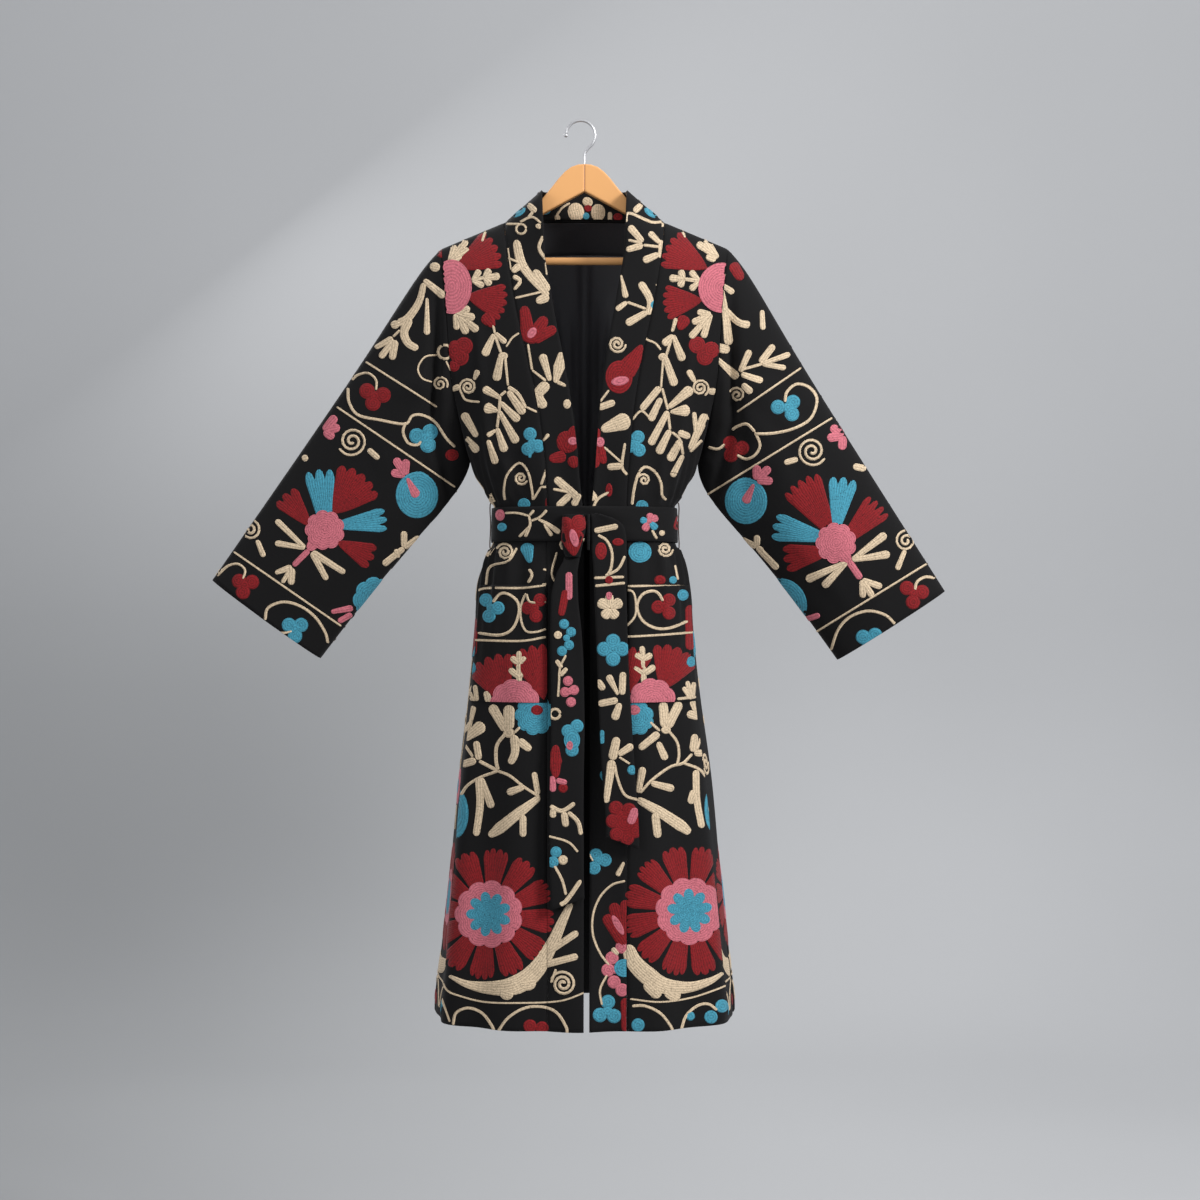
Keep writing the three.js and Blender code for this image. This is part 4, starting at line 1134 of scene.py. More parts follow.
    threads = {"c": 0, "r": 1, "p": 2, "b": 3}
    finishes = (Finish.CREAM, Finish.RED, Finish.PINK, Finish.BLUE)
    high, over, tuck = 0.8, 0.4, -0.35
    step, steps = 0.03, 9  # motifs laid one after another differ a little in height
    clear = 0.25  # the rim of a motif that lies on another stays just above it
    fuller, rounder = 1.22, 1.16  # leaves and berries swell past their chalk lines
    petal_turn, petal_depth = 7, 0.075
    pixel = 1.4  # millimetres
    stray = 2.5  # pixels that a stitch may lie off its place before it is left out

    def __init__(self, panel: Panel, view: View) -> None:
        """Starts an empty page over a panel."""
        self.panel, self.view = panel, view
        self.mesh = bmesh.new()
        self.map = self.mesh.verts.layers.float_vector.new("stitch")
        page = view.project(panel.points).reshape(-1, 2)
        self.low, self.top = page.min(0) - 2, page.max(0) + 2
        self.count = 0

    def grid(
        self, thread: str, across: int, along: int, place: Callable[[Array, Array], Sequence[Array]]
    ) -> None:
        """Lays one field of stitches.

        Args:
            thread: Its letter.
            across: Steps of the first share.
            along: Steps of the second share.
            place: Turns both shares into x, y, closeness to the rim, and the map along and across.
        """
        s, t = np.meshgrid(np.linspace(0, 1, across + 1), np.linspace(0, 1, along + 1))
        x, y, rim, u, v = place(s.ravel(), t.ravel())
        x, y = self.shift(x, y)
        if x.max() < self.low[0] or x.min() > self.top[0] or y.max() < self.low[1] or y.min() > self.top[1]:
            return
        self.count += 1
        level = self.over * sum(c.isupper() for c in thread)
        high = self.high + self.step * (self.count % self.steps) + level
        tuck = self.high + self.clear + level - self.over if level else self.tuck
        lift = tuck + (high - tuck) * (1 - np.clip(rim, 0, 1) ** 10)
        made = bmesh.ops.create_grid(self.mesh, x_segments=across, y_segments=along, size=0.5)["verts"]
        for vert in made:
            k = round((vert.co.x + 0.5) * across) + round((vert.co.y + 0.5) * along) * (across + 1)
            vert.co = (x[k], y[k], lift[k])
            vert[self.map] = (u[k] * self.pixel * MM, v[k] * self.pixel * MM, 0)
            for face in vert.link_faces:
                face.material_index = self.threads[thread[0].lower()]
        bmesh.ops.remove_doubles(self.mesh, verts=made, dist=1e-4)

    def stroke(self, thread: str, points: Array, widths: Array) -> None:
        """Lays a ribbon with round ends along a smooth line."""
        ends = np.vstack([2 * points[0] - points[1], points, 2 * points[-1] - points[-2]])
        widths = widths * lerp(1.0, self.fuller, smooth((widths - 2.5) / 2))
        count = len(points) - 1
        length = float(np.linalg.norm(np.diff(points, axis=0), axis=1).sum())
        wide = float(widths.max())

        def line(share: Array) -> tuple[Array, Array]:
            at = share * count
            i = np.clip(at.astype(int), 0, count - 1)
            t = (at - i)[:, None]
            a, b, c, d = ends[i], ends[i + 1], ends[i + 2], ends[i + 3]
            bend = (2 * a - 5 * b + 4 * c - d) * t**2 + (3 * b - a - 3 * c + d) * t**3
            place = 0.5 * (2 * b + (c - a) * t + bend)
            return place, lerp(widths[i], widths[i + 1], t[:, 0])

        def place(s: Array, t: Array) -> Sequence[Array]:
            share = 0.5 - 0.5 * np.cos(np.pi * t)
            middle, width = line(share)
            way = line(np.clip(share + 1e-3, 0, 1))[0] - line(np.clip(share - 1e-3, 0, 1))[0]
            way /= np.linalg.norm(way, axis=1, keepdims=True)
            off = np.sin(np.pi * (s - 0.5))
            end = np.minimum(share, 1 - share) * length
            cap = np.clip(end / np.maximum(width * 0.5, 1e-6), 0, 1)
            cap = np.sqrt(np.clip(1 - (1 - cap) ** 2, 0, 1))
            out = off * width / 2 * cap
            rim = np.maximum(np.abs(off), 1 - cap)
            return middle[:, 0] - way[:, 1] * out, middle[:, 1] + way[:, 0] * out, rim, share * length, out

        across = 4 if wide < 4.5 else 6
        self.grid(thread, across, int(max(6, min(60, length / 2.6 + 4))), place)

    def disc(self, thread: str, x: float, y: float, rx: float, ry: float, turn: float = 0) -> None:
        """Lays an oval."""
        lean = math.radians(turn)

        def place(s: Array, t: Array) -> Sequence[Array]:
            reach, angle = np.sin(t * np.pi / 2), 2 * np.pi * s
            a, b = rx * reach * np.cos(angle), ry * reach * np.sin(angle)
            px, py = x + a * math.cos(lean) - b * math.sin(lean), y + a * math.sin(lean) + b * math.cos(lean)
            return px, py, reach, angle * min(rx, ry) * 0.7, reach * min(rx, ry)

        size = max(rx, ry)
        self.grid(thread, int(14 + size), int(max(3, size / 3.2)) + 1, place)

    def lobed(
        self, thread: str, x: float, y: float, reach: float, lobes: int, depth: float, turn: float = 0
    ) -> None:
        """Lays a round motif with a scalloped rim."""

        def place(s: Array, t: Array) -> Sequence[Array]:
            angle = 2 * np.pi * s
            wave = np.abs(np.sin(lobes / 2 * angle + math.radians(turn))) ** 0.7
            rim = reach * (1 - depth + depth * wave)
            out = np.sin(t * np.pi / 2)
            px, py = x + rim * out * np.cos(angle), y + rim * out * np.sin(angle)
            return px, py, out, angle * reach * 0.6, out * reach

        self.grid(thread, lobes * 8, int(reach / 3) + 2, place)

    def fan(
        self,
        thread: str,
        x: float,
        y: float,
        turn: float,
        spread: float,
        reach: float,
        lobes: float,
        start: float = 0,
        depth: float = 0.14,
    ) -> None:
        """Lays a petal or fan that widens from its point to a scalloped rim."""

        def place(s: Array, t: Array) -> Sequence[Array]:
            side = np.sin(np.pi * (s - 0.5))
            share = 0.5 + side / 2
            out = start + (1 - start) * np.sin(t * np.pi / 2)
            angle = np.radians(turn + spread * side / 2 * (1 + 0.5 * (1 - out) ** 2))
            wave = np.abs(np.sin(np.pi * lobes * share)) ** 0.55
            corner = 1 - (0.19 - depth) * side**4  # rounder where the scallops are shallow
            rim = reach * (1 - depth + depth * wave) * corner
            close = np.maximum(np.abs(side) ** 1.5, np.sin(t * np.pi / 2))
            a = x + rim * out * np.cos(angle), y + rim * out * np.sin(angle)
            return *a, close, rim * out, np.radians(spread) * side / 2 * reach * 0.8

        self.grid(thread, int(lobes * 7) + 2, int(reach / 4) + 3, place)

    def ring(self, thread: str, x: float, y: float, radius: float, width: float) -> None:
        """Lays a ring."""
        angle = np.linspace(0, 2 * np.pi, 14)
        points = np.stack([x + radius * np.cos(angle), y + radius * np.sin(angle)], 1)
        self.stroke(thread, points, np.full(len(points), width))

    def whorl(
        self, thread: str, x: float, y: float, radius: float, width: float, start: float, turns: float
    ) -> None:
        """Lays a line that winds in to its middle."""
        share = np.linspace(0, 1, int(abs(turns) * 10) + 2)
        angle = np.radians(start + 360 * turns * share)
        reach = radius * (1 - 0.9 * share)
        points = np.stack([x + reach * np.cos(angle), y + reach * np.sin(angle)], 1)
        self.stroke(thread, points, np.linspace(width, width * 1.2, len(points)))

    def lay(
        self,
        design: str,
        down: float = 0,
        spin: float = 0,
        about: Sequence[float] = (0, 0),
        size: float = 1,
        to: Sequence[float] | None = None,
        swap: str = "",
    ) -> "Page":
        """Lays a design.

        Args:
            design: Its lines.
            down: How far the design moves down.
            spin: Turn in degrees.
            about: The design's own middle, for spin, size and to.
            size: How much larger it gets.
            to: Where its middle goes.
            swap: Two threads that change places.

        Returns:
            The page.
        """
        cos, sin = math.cos(math.radians(spin)) * size, math.sin(math.radians(spin)) * size
        goal = to or about

        def shift(x: Array, y: Array) -> tuple[Array, Array]:
            dx, dy = x - about[0], y - about[1]
            return goal[0] + dx * cos - dy * sin, goal[1] + down + dx * sin + dy * cos

        self.shift = shift
        for line in filter(None, (part.strip() for part in design.replace(";", "\n").splitlines())):
            kind, thread, *rest = line.split()
            if swap and thread[0].lower() in swap:
                other = swap[1 - swap.index(thread[0].lower())]
                thread = (other.upper() if thread.isupper() else other) * len(thread)
            numbers = [float(v) for v in rest]
            if kind == "s":
                points = np.array(numbers[2:]).reshape(-1, 2)
                self.stroke(thread, points, np.linspace(numbers[0], numbers[1], len(points)))
            elif kind == "v":
                rows = np.array(numbers).reshape(-1, 3)
                self.stroke(thread, rows[:, 1:], rows[:, 0])
            elif kind == "d":
                self.disc(thread, *numbers)
            elif kind == "f":
                self.fan(thread, *numbers)
            elif kind == "l":
                self.lobed(thread, *numbers[:3], int(numbers[3]), *numbers[4:])
            elif kind == "r":
                self.ring(thread, *numbers)
            elif kind == "w":
                self.whorl(thread, *numbers)
            elif kind == "q":
                x, y, count, inner, reach, spread = numbers
                for k in range(int(count)):
                    turn = self.petal_turn + k * 360 / count
                    self.fan(thread, x, y, turn, spread, reach, 3 + k % 2, inner / reach, self.petal_depth)
            elif kind == "o":
                places = np.reshape(numbers[1:], (-1, 2))
                for x, y in places:
                    self.disc(thread, x, y, numbers[0] * self.rounder, numbers[0] * self.rounder)
                if len(places) > 2:
                    self.disc(thread, *places.mean(0), numbers[0] * 0.8, numbers[0] * 0.8)
            elif kind == "t":
                root, *tips = np.reshape(numbers[2:], (-1, 2))
                for tip in tips:
                    self.stroke(thread, np.array([root, tip]), np.array(numbers[:2]))
        return self

    def sew(self, name: str) -> bpy.types.Object | None:
        """Cuts the page at the panel's edges and sews it on.

        Args:
            name: The piece.

        Returns:
            The needlework, or None where nothing lies on the panel.
        """
        mesh, panel = self.mesh, self.panel
        verts = list(mesh.verts)
        flat = np.array([v.co for v in verts]).reshape(-1, 3)
        row, column = panel.find(self.view, flat[:, :2])
        rows, columns = panel.points.shape[:2]
        back = self.view.project(panel.at(row, column, np.zeros(len(row))))
        lost = np.linalg.norm(back - flat[:, :2], axis=1) > self.stray
        for vert, r, c in zip(verts, row, column, strict=True):
            vert.co.x, vert.co.y = c, r
        bmesh.ops.delete(mesh, geom=[v for v, bad in zip(verts, lost, strict=True) if bad], context="VERTS")
        edge = 0.06
        for co, no in (
            ((edge, 0, 0), (-1, 0, 0)),
            ((columns - 1 - edge, 0, 0), (1, 0, 0)),
            ((0, edge, 0), (0, -1, 0)),
            ((0, rows - 1 - edge, 0), (0, 1, 0)),
        ):
            whole = [*mesh.verts, *mesh.edges, *mesh.faces]
            bmesh.ops.bisect_plane(mesh, geom=whole, dist=1e-6, plane_co=co, plane_no=no, clear_outer=True)
        if not mesh.faces:
            mesh.free()
            return None
        verts = list(mesh.verts)
        flat = np.array([v.co for v in verts])
        row, column = flat[:, 1], flat[:, 0]
        placed = panel.at(row, column, flat[:, 2])
        under = panel.at(row, column, flat[:, 2] - 5)
        for vert, point in zip(verts, placed, strict=True):
            vert.co = point
        mesh.normal_update()
        mesh.verts.index_update()
        out = placed - under
        wrong = [f for f in mesh.faces if f.normal.dot(Vector(out[f.verts[0].index])) < 0]
        bmesh.ops.reverse_faces(mesh, faces=wrong)
        map_ = mesh.verts.layers.float_vector["stitch"]
        uv = mesh.loops.layers.uv.new("stitch")
        for face in mesh.faces:
            for loop in face.loops:
                loop[uv].uv = loop.vert[map_][:2]
        LOG.info("%s: %d faces", name, len(mesh.faces))
        return piece(name, mesh, self.finishes)


class Designs:
    """The coat's embroidery, panel by panel, in the page's own terms."""

    front_left = """
s c 3 3 486 229 482 242; t c 3.5 6.5 449 262 455 245 467 240 469 249 462 257; f r 455 269 -28 56 50 5
d P 452 287 20 27; t c 3 7 472 281 480 270 484 286; s c 4 3.5 472 281 486 277
t c 4 7.5 484 278 490 269 500 276 491 285; f r 466 296 10 60 43 5; s r 16 5 484 314 494 327
t c 4 7.5 456 313 470 308 475 318 478 331 467 334; s c 4 6 455 314 457 330; o r 8 464 346 460 357
o r 5 454 366; d r 455 350 8 10; s c 2.5 2.5 493 325 495 334; s c 4 8 494 334 484 356
s c 4 5.5 495 333 506 343; s c 2.2 2.2 506 347 512 338 519 333; s c 3 3 495 336 501 353; d c 503 356 5 4
s c 5 8 501 356 496 381; s c 3 2.5 505 357 508 386; s c 4 3 508 387 518 394 526 408
s c 5 8 508 391 524 414; s c 2.5 2.5 526 407 537 412; s c 3 3 506 391 500 396; s c 4 8 500 398 483 388
s c 4 8 500 402 519 421; s c 3 3 500 396 499 412 497 428; s c 3 13 498 411 484 407
s c 4 8 499 411 517 443; s c 4 8 497 428 505 452; s c 3 5 496 430 487 436; s c 4 7 488 440 496 464
s c 8 5 463 413 477 437; s c 4 8 466 437 478 452; w c 468 387 9 2.5 130 2.2
s c 2.5 2.5 461 392 466 400 480 402; s c 3 6 474 380 478 370; s c 4 6 451 390 460 386
o b 6 530 434 538 446 528 449; s b 4 3 529 448 530 458
s c 2.5 2.5 505 500 504 490 507 475 519 463 528 472 532 490 533 500; w c 521 478 7 2.5 20 1.8
d b 524 504 6.5 6; s c 3 3 547 468 541 485; s c 2.5 2.5 540 487 551 487; s c 2.5 2.5 541 487 533 500
d r 550 503 5 8; w c 505 552 9 2.5 200 2.1; s c 2.5 2.5 517 548 508 561 490 567 486 585
s b 15 4 526 543 530 563; s c 3 3 529 569 532 575 528 583; s c 2.5 2.5 543 569 557 574
w c 546 588 7 2.5 10 1.5; d b 466 520 9 14; t c 4 7 470 545 458 535 455 548 462 560
s c 2.5 2.5 470 545 478 560 472 580; f r 462 640 -120 60 36 4; s r 7 8 474 622 473 656; d b 468 668 7 8
t c 3 6 462 700 452 684 448 694"""
    skirt_left = """
s c 9 7 491 705 506 731; s c 10 9 509 705 509 730; d c 509 733 6 5
s c 3.5 3.5 506 733 497 745 496 760 498 770; s c 3 3 514 733 520 727; s c 8 6 514 735 515 752 510 764
s c 8 6 518 740 531 750; s c 5 8 474 706 463 740; s c 5 13 464 740 484 724; s c 3 3 463 742 473 757
s c 6 6 479 760 476 741; s c 7 6 476 760 461 765; s c 3.5 3.5 479 761 498 771
s c 3 3 498 771 510 776 524 787 540 797; s c 3 3 498 771 481 777 468 785 461 795; s c 5 7 524 787 507 793
s c 7 6 479 777 480 805 476 836; s c 5 7 481 778 492 808; v c 5 540 797 9 520 812 10 500 828 5 489 836
s c 6 6 523 815 523 837; s c 5 5 538 795 534 772; d b 454 813 15 27; l b 535 715 21 9 0.12
d R 537 710 6 5; t c 3 6 440 760 430 742 424 754 428 768; s c 3 3 440 762 446 780 438 800
f r 425 830 -95 70 34 4; s r 9 6 417 735 412 770
s c 2 2 440 975 447 990 460 996 485 1002 520 1003 560 1001 586 992; s c 2 2 437 985 450 1022
s c 3 3 453 1025 456 1013 468 1008 482 1013 492 1026 494 1033
s c 3 3 497 1033 508 1018 525 1008 543 1007 557 1013 566 1027 567 1034; o r 6 530 1026 542 1028
o b 6 437 1003; v c 3 449 976 7 470 985 13 497 988 17 518 984 15 536 970 11 551 946 8 563 920 5 571 903
s c 10 10 500 992 513 996; s c 12 12 520 985 536 982; s c 6 6 548 952 578 932; s c 6 6 540 966 578 956
w c 563 984 13 2.8 200 2.4; s c 2.8 2.8 556 969 551 983; s c 1.5 1.5 581 860 586 900 588 960 588 1030
o b 6 420 1008 430 1016; s c 3 3 405 1026 415 1010 432 1022; v c 5 430 890 10 424 920 10 428 950 5 440 972"""
    rosette = """
q r 0 0 12 32.5 67 25.5; l P 0 0 34 11 0.09; l BB 0 0 22.5 9 0.34"""
    side = """
s c 3 3 600 470 606 510 598 560 604 600; t c 4 8 603 500 584 488 622 490; t c 4 8 600 556 580 546 620 548
f r 602 660 -90 80 44 5; f b 602 660 -28 30 40 3; f b 602 660 -152 30 40 3
s c 3 3 602 662 596 700 604 740 598 780; t c 5 9 598 700 572 684 626 688; t c 5 9 602 738 574 724 632 728
o b 7 556 640 568 648 556 652; o r 7 650 640 638 650 650 654; l p 600 796 21 9 0.14; d B 600 796 8 8
s c 3 3 600 816 602 842; w c 552 770 13 3 0 2; w c 650 770 13 3 180 -2; s c 5 8 540 820 522 790
s c 5 8 662 820 680 790; d b 520 740 10 14; d r 684 740 10 14; t c 4 8 528 690 514 668 540 672
t c 4 8 672 690 660 672 688 668; s c 2 2 470 992 540 1000 600 1003 660 1000 730 992
s c 3 3 548 1032 556 1014 575 1006 594 1014 602 1032; s c 3 3 606 1032 614 1014 633 1006 652 1014 660 1032
s c 3 3 664 1032 672 1014 691 1006 710 1014; s c 3 3 544 1032 536 1014 517 1006 498 1014
o r 6 570 1026 582 1028; o b 6 628 1026 640 1028; o b 6 520 1026 532 1028
v c 4 520 930 11 532 970 17 565 990 14 600 988 5 640 976"""
    front_right = """
s c 3 3 682 229 685 238; f r 708 269 -152 56 50 5; d P 722 288 24 25; t c 3 7 700 281 690 271 690 290
s c 4 3.5 700 281 684 279; t c 4 7.5 684 279 680 270 669 278 679 287; f r 703 300 176 58 42 5
s r 15 5 686 316 679 330; t c 4 7 718 258 697 243 705 239; s c 6 6 716 260 706 256
t c 4 6.5 711 314 697 312 692 323 690 338 703 338; s c 4 3 676 318 672 332
t c 4 8 673 335 663 345 683 361; s c 3 3 671 340 666 356; d c 663 357 5 4; s c 5 8 665 357 675 386
s c 2.5 2.5 663 360 661 388; s c 2.5 2.5 645 333 646 339 655 343 661 350; s c 6 6 660 387 641 410
s c 5 7 661 398 650 421; s c 3 3 662 388 668 410; s c 5 7 668 411 650 445; s c 4 10 668 408 692 388
s c 3 13 670 412 690 410; s c 3 3 668 412 670 430; s c 5 8 670 430 658 454; s c 6 6 678 432 690 437
s c 3 3 672 432 680 440 683 455; s c 6 8 681 440 669 461; s c 4 6 683 455 672 477
w c 700 388 9 2.5 60 -2.2; s c 4 6 695 382 688 370; s c 6 6 708 391 718 392
o r 7.5 697 345 705 357 711 350; s c 9 5 706 414 690 450; s c 4 4 694 412 697 440; s c 3 3 702 440 690 452
s c 2.5 2.5 632 420 641 411 650 418; o b 6 638 437 639 450 631 446; s b 4 3 633 440 630 434
s c 3 3 632 505 634 490 638 475 645 467 655 472 661 483 662 495 666 500; w c 644 480 6.5 2.5 200 1.6
d b 642 506 6.5 6; d b 640 552 12 11; w c 665 549 8 2.5 0 2; d r 660 580 6 5; d b 673 580 4 4
s c 2 2 675 565 678 580; d b 704 522 9 13; t c 4 7 700 545 712 535 715 548 708 560
s c 2.5 2.5 700 545 692 560 698 580; f r 707 640 -60 60 36 4; s r 7 8 690 608 690 648
o b 6 683 596 692 660; t c 3 6 706 700 716 684 720 694"""
    skirt_right = """
l b 637 718 18 8 0.12; d P 634 710 6 5; s c 8 8 663 702 665 728; s c 8 8 680 702 667 728
s c 6 4 692 700 703 728; s c 5 8 700 718 687 713; d c 666 730 5 4; s c 3 3 668 730 677 742 679 755 677 765
s c 3 3 650 722 660 731; s c 7 6 659 733 639 749; s c 5 7 658 742 666 760; s c 2.5 2.5 703 730 697 750
s c 7 6 693 752 695 734; s c 6 6 694 753 706 753; s c 3 3 692 754 683 763 670 767 652 780 640 793
s c 3 3 683 763 697 768 704 774 709 783; s c 5 7 651 783 674 789; s c 5 7 638 793 643 767
v c 6 637 799 9 660 812 10 680 825 6 690 833; s c 7 7 655 813 658 838; s c 6 6 696 770 697 800 702 828
s c 8 6 695 790 690 804; d b 716 808 12 27; t c 3 6 732 760 742 742 748 754 744 768
s c 3 3 732 762 726 780 734 800; f r 748 830 -85 70 34 4; s r 9 6 753 735 758 770
v c 10 627 945 14 634 962 16 648 976 14 665 986 9 690 987 6 710 981 3 723 973; s c 10 10 645 982 660 997
s c 11 11 665 990 680 998; s c 2 2 630 999 660 1002 690 998 715 990 727 985
s c 3 3 632 1006 645 1006 660 1013 670 1025 673 1032; s c 3 3 681 1031 686 1016 697 1006 708 1004 717 1010
o b 6 638 1025 711 1017 722 1006; o b 6 738 1012; s c 3 3 726 1028 738 1020 752 1028
v c 5 742 890 10 748 920 10 744 950 5 732 972"""
    band_left = """
r c 521 229 5 2.4; s c 2.5 2.5 506 224 520 224; s c 2.5 2.5 509 214 521 205 532 196 539 190
d b 519 212 8 4 -34; s c 5 6 528 204 536 212; s c 3 3 533 212 528 218; s c 2.5 2.5 520 222 532 217 541 223
s c 2 7 540 229 537 224; s c 3.5 3.5 543 236 539 248 546 260; s c 3 3 546 262 547 275
v c 7 516 240 8 521 262 7 530 276 6 541 288 5 548 296; s c 7 9 534 270 548 292; s c 9 6 549 296 536 302
s c 7 5 520 265 512 272; s c 2.5 2.5 508 258 518 262; s c 1.6 1.6 508 248 511 270
s c 4.5 3 513 276 520 281 514 290; s c 2.5 2.5 515 298 541 292; s r 14 8 529 340 524 306
s r 13 9 530 340 546 317; s r 11 8 532 340 556 328; d r 532 334 12 10; d P 532 333 4 6 35
s c 2.5 2.5 528 344 532 370; s c 2.5 3 532 370 546 381; s r 3 4 525 357 527 368; d r 523 370 5 6
s c 4 8 550 381 542 354; v c 4 555 383 10 559 367 4 561 352; s c 4 3 557 382 566 386
v c 10 548 383 9 538 395 8 545 408; s c 3 3 536 393 538 408; d c 567 404 4 5; s c 2 4 543 441 549 434
s r 4 22 574 426 568 450; s r 12 7 566 456 549 459; s r 12 8 572 456 575 468; s r 16 20 562 432 572 452
d P 573 441 5 4; s c 7 7 555 478 578 498; s c 3 3 553 489 568 492; s c 6 6 570 495 557 507
s c 4 7 580 494 573 506; w c 566 545 8 2.5 40 -1.8; s c 2.5 2.5 557 552 552 575 563 590"""
    tail_left = """
s p 6 6 569 572 569 600; s r 7 6 566 590 561 616; o b 4.5 564 624 571 632 569 645 562 651; d C 558 635 4 4
s c 2.5 2.5 566 655 560 668 559 683 558 697; s c 4 4 562 668 556 660; s c 4 4 560 676 567 668
o p 4.5 568 681 574 690 571 702 565 692; r c 555 714 5 3; o b 6 568 731 577 726 572 750; d B 572 740 8 10
d P 570 745 4 5; v r 5 556 745 12 555 761 5 556 778; s p 5 5 556 780 567 783; s p 6 6 552 776 553 792
d r 563 788 5 5; s c 4 4 550 806 562 811 575 803; s c 5 6 553 808 553 818; s c 6 6 564 812 566 827
s c 4 4 568 812 578 822 581 835; s c 2.5 2.5 548 836 568 842 578 852; o b 5 556 852 553 862
d c 563 860 5 5; s c 3 3 554 865 562 880 566 895; s c 4 4 581 880 567 900 560 905"""
    band_right = """
s c 3 3 626 222 629 213 651 222 662 222 663 227; s c 2.5 2.5 661 215 649 206 638 197 631 190
d b 652 212 9 5 32; s c 5 6 642 204 634 212; s c 7 5 629 226 643 242; s c 3 3 628 240 642 243
s c 5 6 626 250 643 245; s c 3 3 643 245 660 247; s c 4 4 661 240 660 258; s c 4 6 660 243 649 232
s c 5 7 659 254 643 261; s c 2 6 621 275 626 298; s c 4 5 627 302 616 310; s c 3 3 627 302 646 309
s c 7 5 640 282 650 300 648 315; s c 5 7 647 312 626 324; d b 654 305 5 5; s c 2 2 656 284 660 291 656 297
w c 617 344 9 2.6 0 2.1; d r 619 377 14 17; v r 20 622 376 15 632 362 4 642 345; o r 5 645 360 646 371
d P 620 381 9 4.5 -10; s c 2.5 2.5 609 390 600 402; s c 6 6 598 408 615 402; s c 6 18 601 430 630 419
s r 6 10 597 428 594 468; s r 8 6 600 445 604 464; d P 600 442 4.5 5; s c 2.5 2.5 604 447 622 463
s c 6 6 607 467 622 466; s c 3 3 625 443 622 466 627 475; d r 609 490 3.5 7
s c 3 3 591 515 597 500 609 492; s c 7 7 585 487 596 500; s c 3 3 594 578 611 579; s c 3 3 594 586 612 588
s c 3 3 610 578 612 560; s c 3 3 613 580 620 563; t c 4 7 618 700 608 676 622 672 603 690
s c 3 3 618 700 612 730 618 760; f b 616 800 -95 60 34 4; o b 6 596 855 605 860 594 868
s c 2 2 588 830 588 850 593 861; s c 3 5 624 862 617 876
s c 2.5 2.5 625 881 612 885 600 897 593 915 593 935 600 953 609 965; s r 11 10 625 945 605 915
s r 11 10 625 945 613 903; s r 9 8 625 945 625 900; d P 618 925 3.5 11 -30
o p 6 612 958 608 970 614 982 622 990 622 947; d B 624 968 10 9; s c 5 5 612 948 618 955
s c 2.5 2.5 607 975 600 990 602 1005; o b 6.5 608 1002 600 1015 614 1016; s r 8 8 625 998 626 1032"""
    tail_right = """
s c 5 5 594 531 618 526; s c 3 3 598 535 607 541 612 553 611 568 606 577; s c 3 3 625 556 618 569 605 576
s c 3 3 594 578 624 577; s c 3 3 595 586 625 583; d r 601 551 6 9; d r 618 542 6 4; d R 609 580 4 4
t c 5 12 610 608 598 601 622 601; t c 5 12 610 609 603 618 617 618; s c 5 9 610 606 609 594
s P 4 6 609 600 609 592; o b 6.5 613 641 622 649 613 659 604 649; s c 7 3 608 675 618 695
s c 6 6 623 672 622 695; s c 6 6 598 704 618 700; s c 5 8 620 703 614 720; s c 6 6 597 680 604 690
s c 8 7 612 760 617 737; s c 8 5 612 760 606 803; s c 7 5 633 745 618 755; s b 4 4 602 730 602 744
s c 3 3 614 762 618 780 625 795 638 800; s c 2.5 2.5 619 757 630 764; d b 632 770 5 5
o r 6.5 629 810 616 808 613 821 617 834 627 838 635 831 635 820; d r 625 822 13 13
s P 7 7 636 808 630 824"""
    pocket_left = """
s c 2.5 2.5 476 591 488 588 522 588 546 585
v c 3 493 602 3 500 594 3 508 594 3 517 601 3 519 612 3 513 628 3 500 635 3 478 633
s c 2.5 2.5 546 602 530 602 526 594 521 606 521 620 526 631 536 632 546 629; o b 6 486 600 498 608 489 616
o r 6 540 600 528 608 536 616; s c 2.5 2.5 475 640 520 641 546 637; f r 507 705 -113 62 54 5
s c 5 5 519 688 519 651; t c 5 6 519 664 511 657 526 657; t c 5 6 519 677 509 669 527 668
t c 4 4 477 701 475 685; l P 515 704 25 9 0.08; s c 4 4 474 702 468 690; s c 6 6 489 703 486 691
s c 3 3 470 703 492 703; f r 544 700 -103 56 58 5; s r 8 8 473 622 472 656; d b 471 668 5 7"""
    pocket_right = """
s c 2.5 2.5 622 586 640 586 686 584
s c 3 3 663 601 658 593 651 591 642 595 637 606 642 620 655 628 670 628 688 621
s c 2.5 2.5 622 590 633 592 636 606 634 618 622 630; o r 6 658 607 669 600 669 613
s c 2.5 2.5 622 637 660 635 696 632; f r 662 690 -68 72 48 5; s c 5 5 644 684 642 646
t c 5 6 643 660 635 654 652 654; t c 5 6 644 674 634 667 655 666; l P 652 702 24 9 0.08
t c 5 4 692 699 683 687 687 681 694 682; s c 3 3 677 699 696 697; f r 624 700 -80 50 56 5
s r 8 8 690 605 690 650; o b 5 683 595 691 662"""
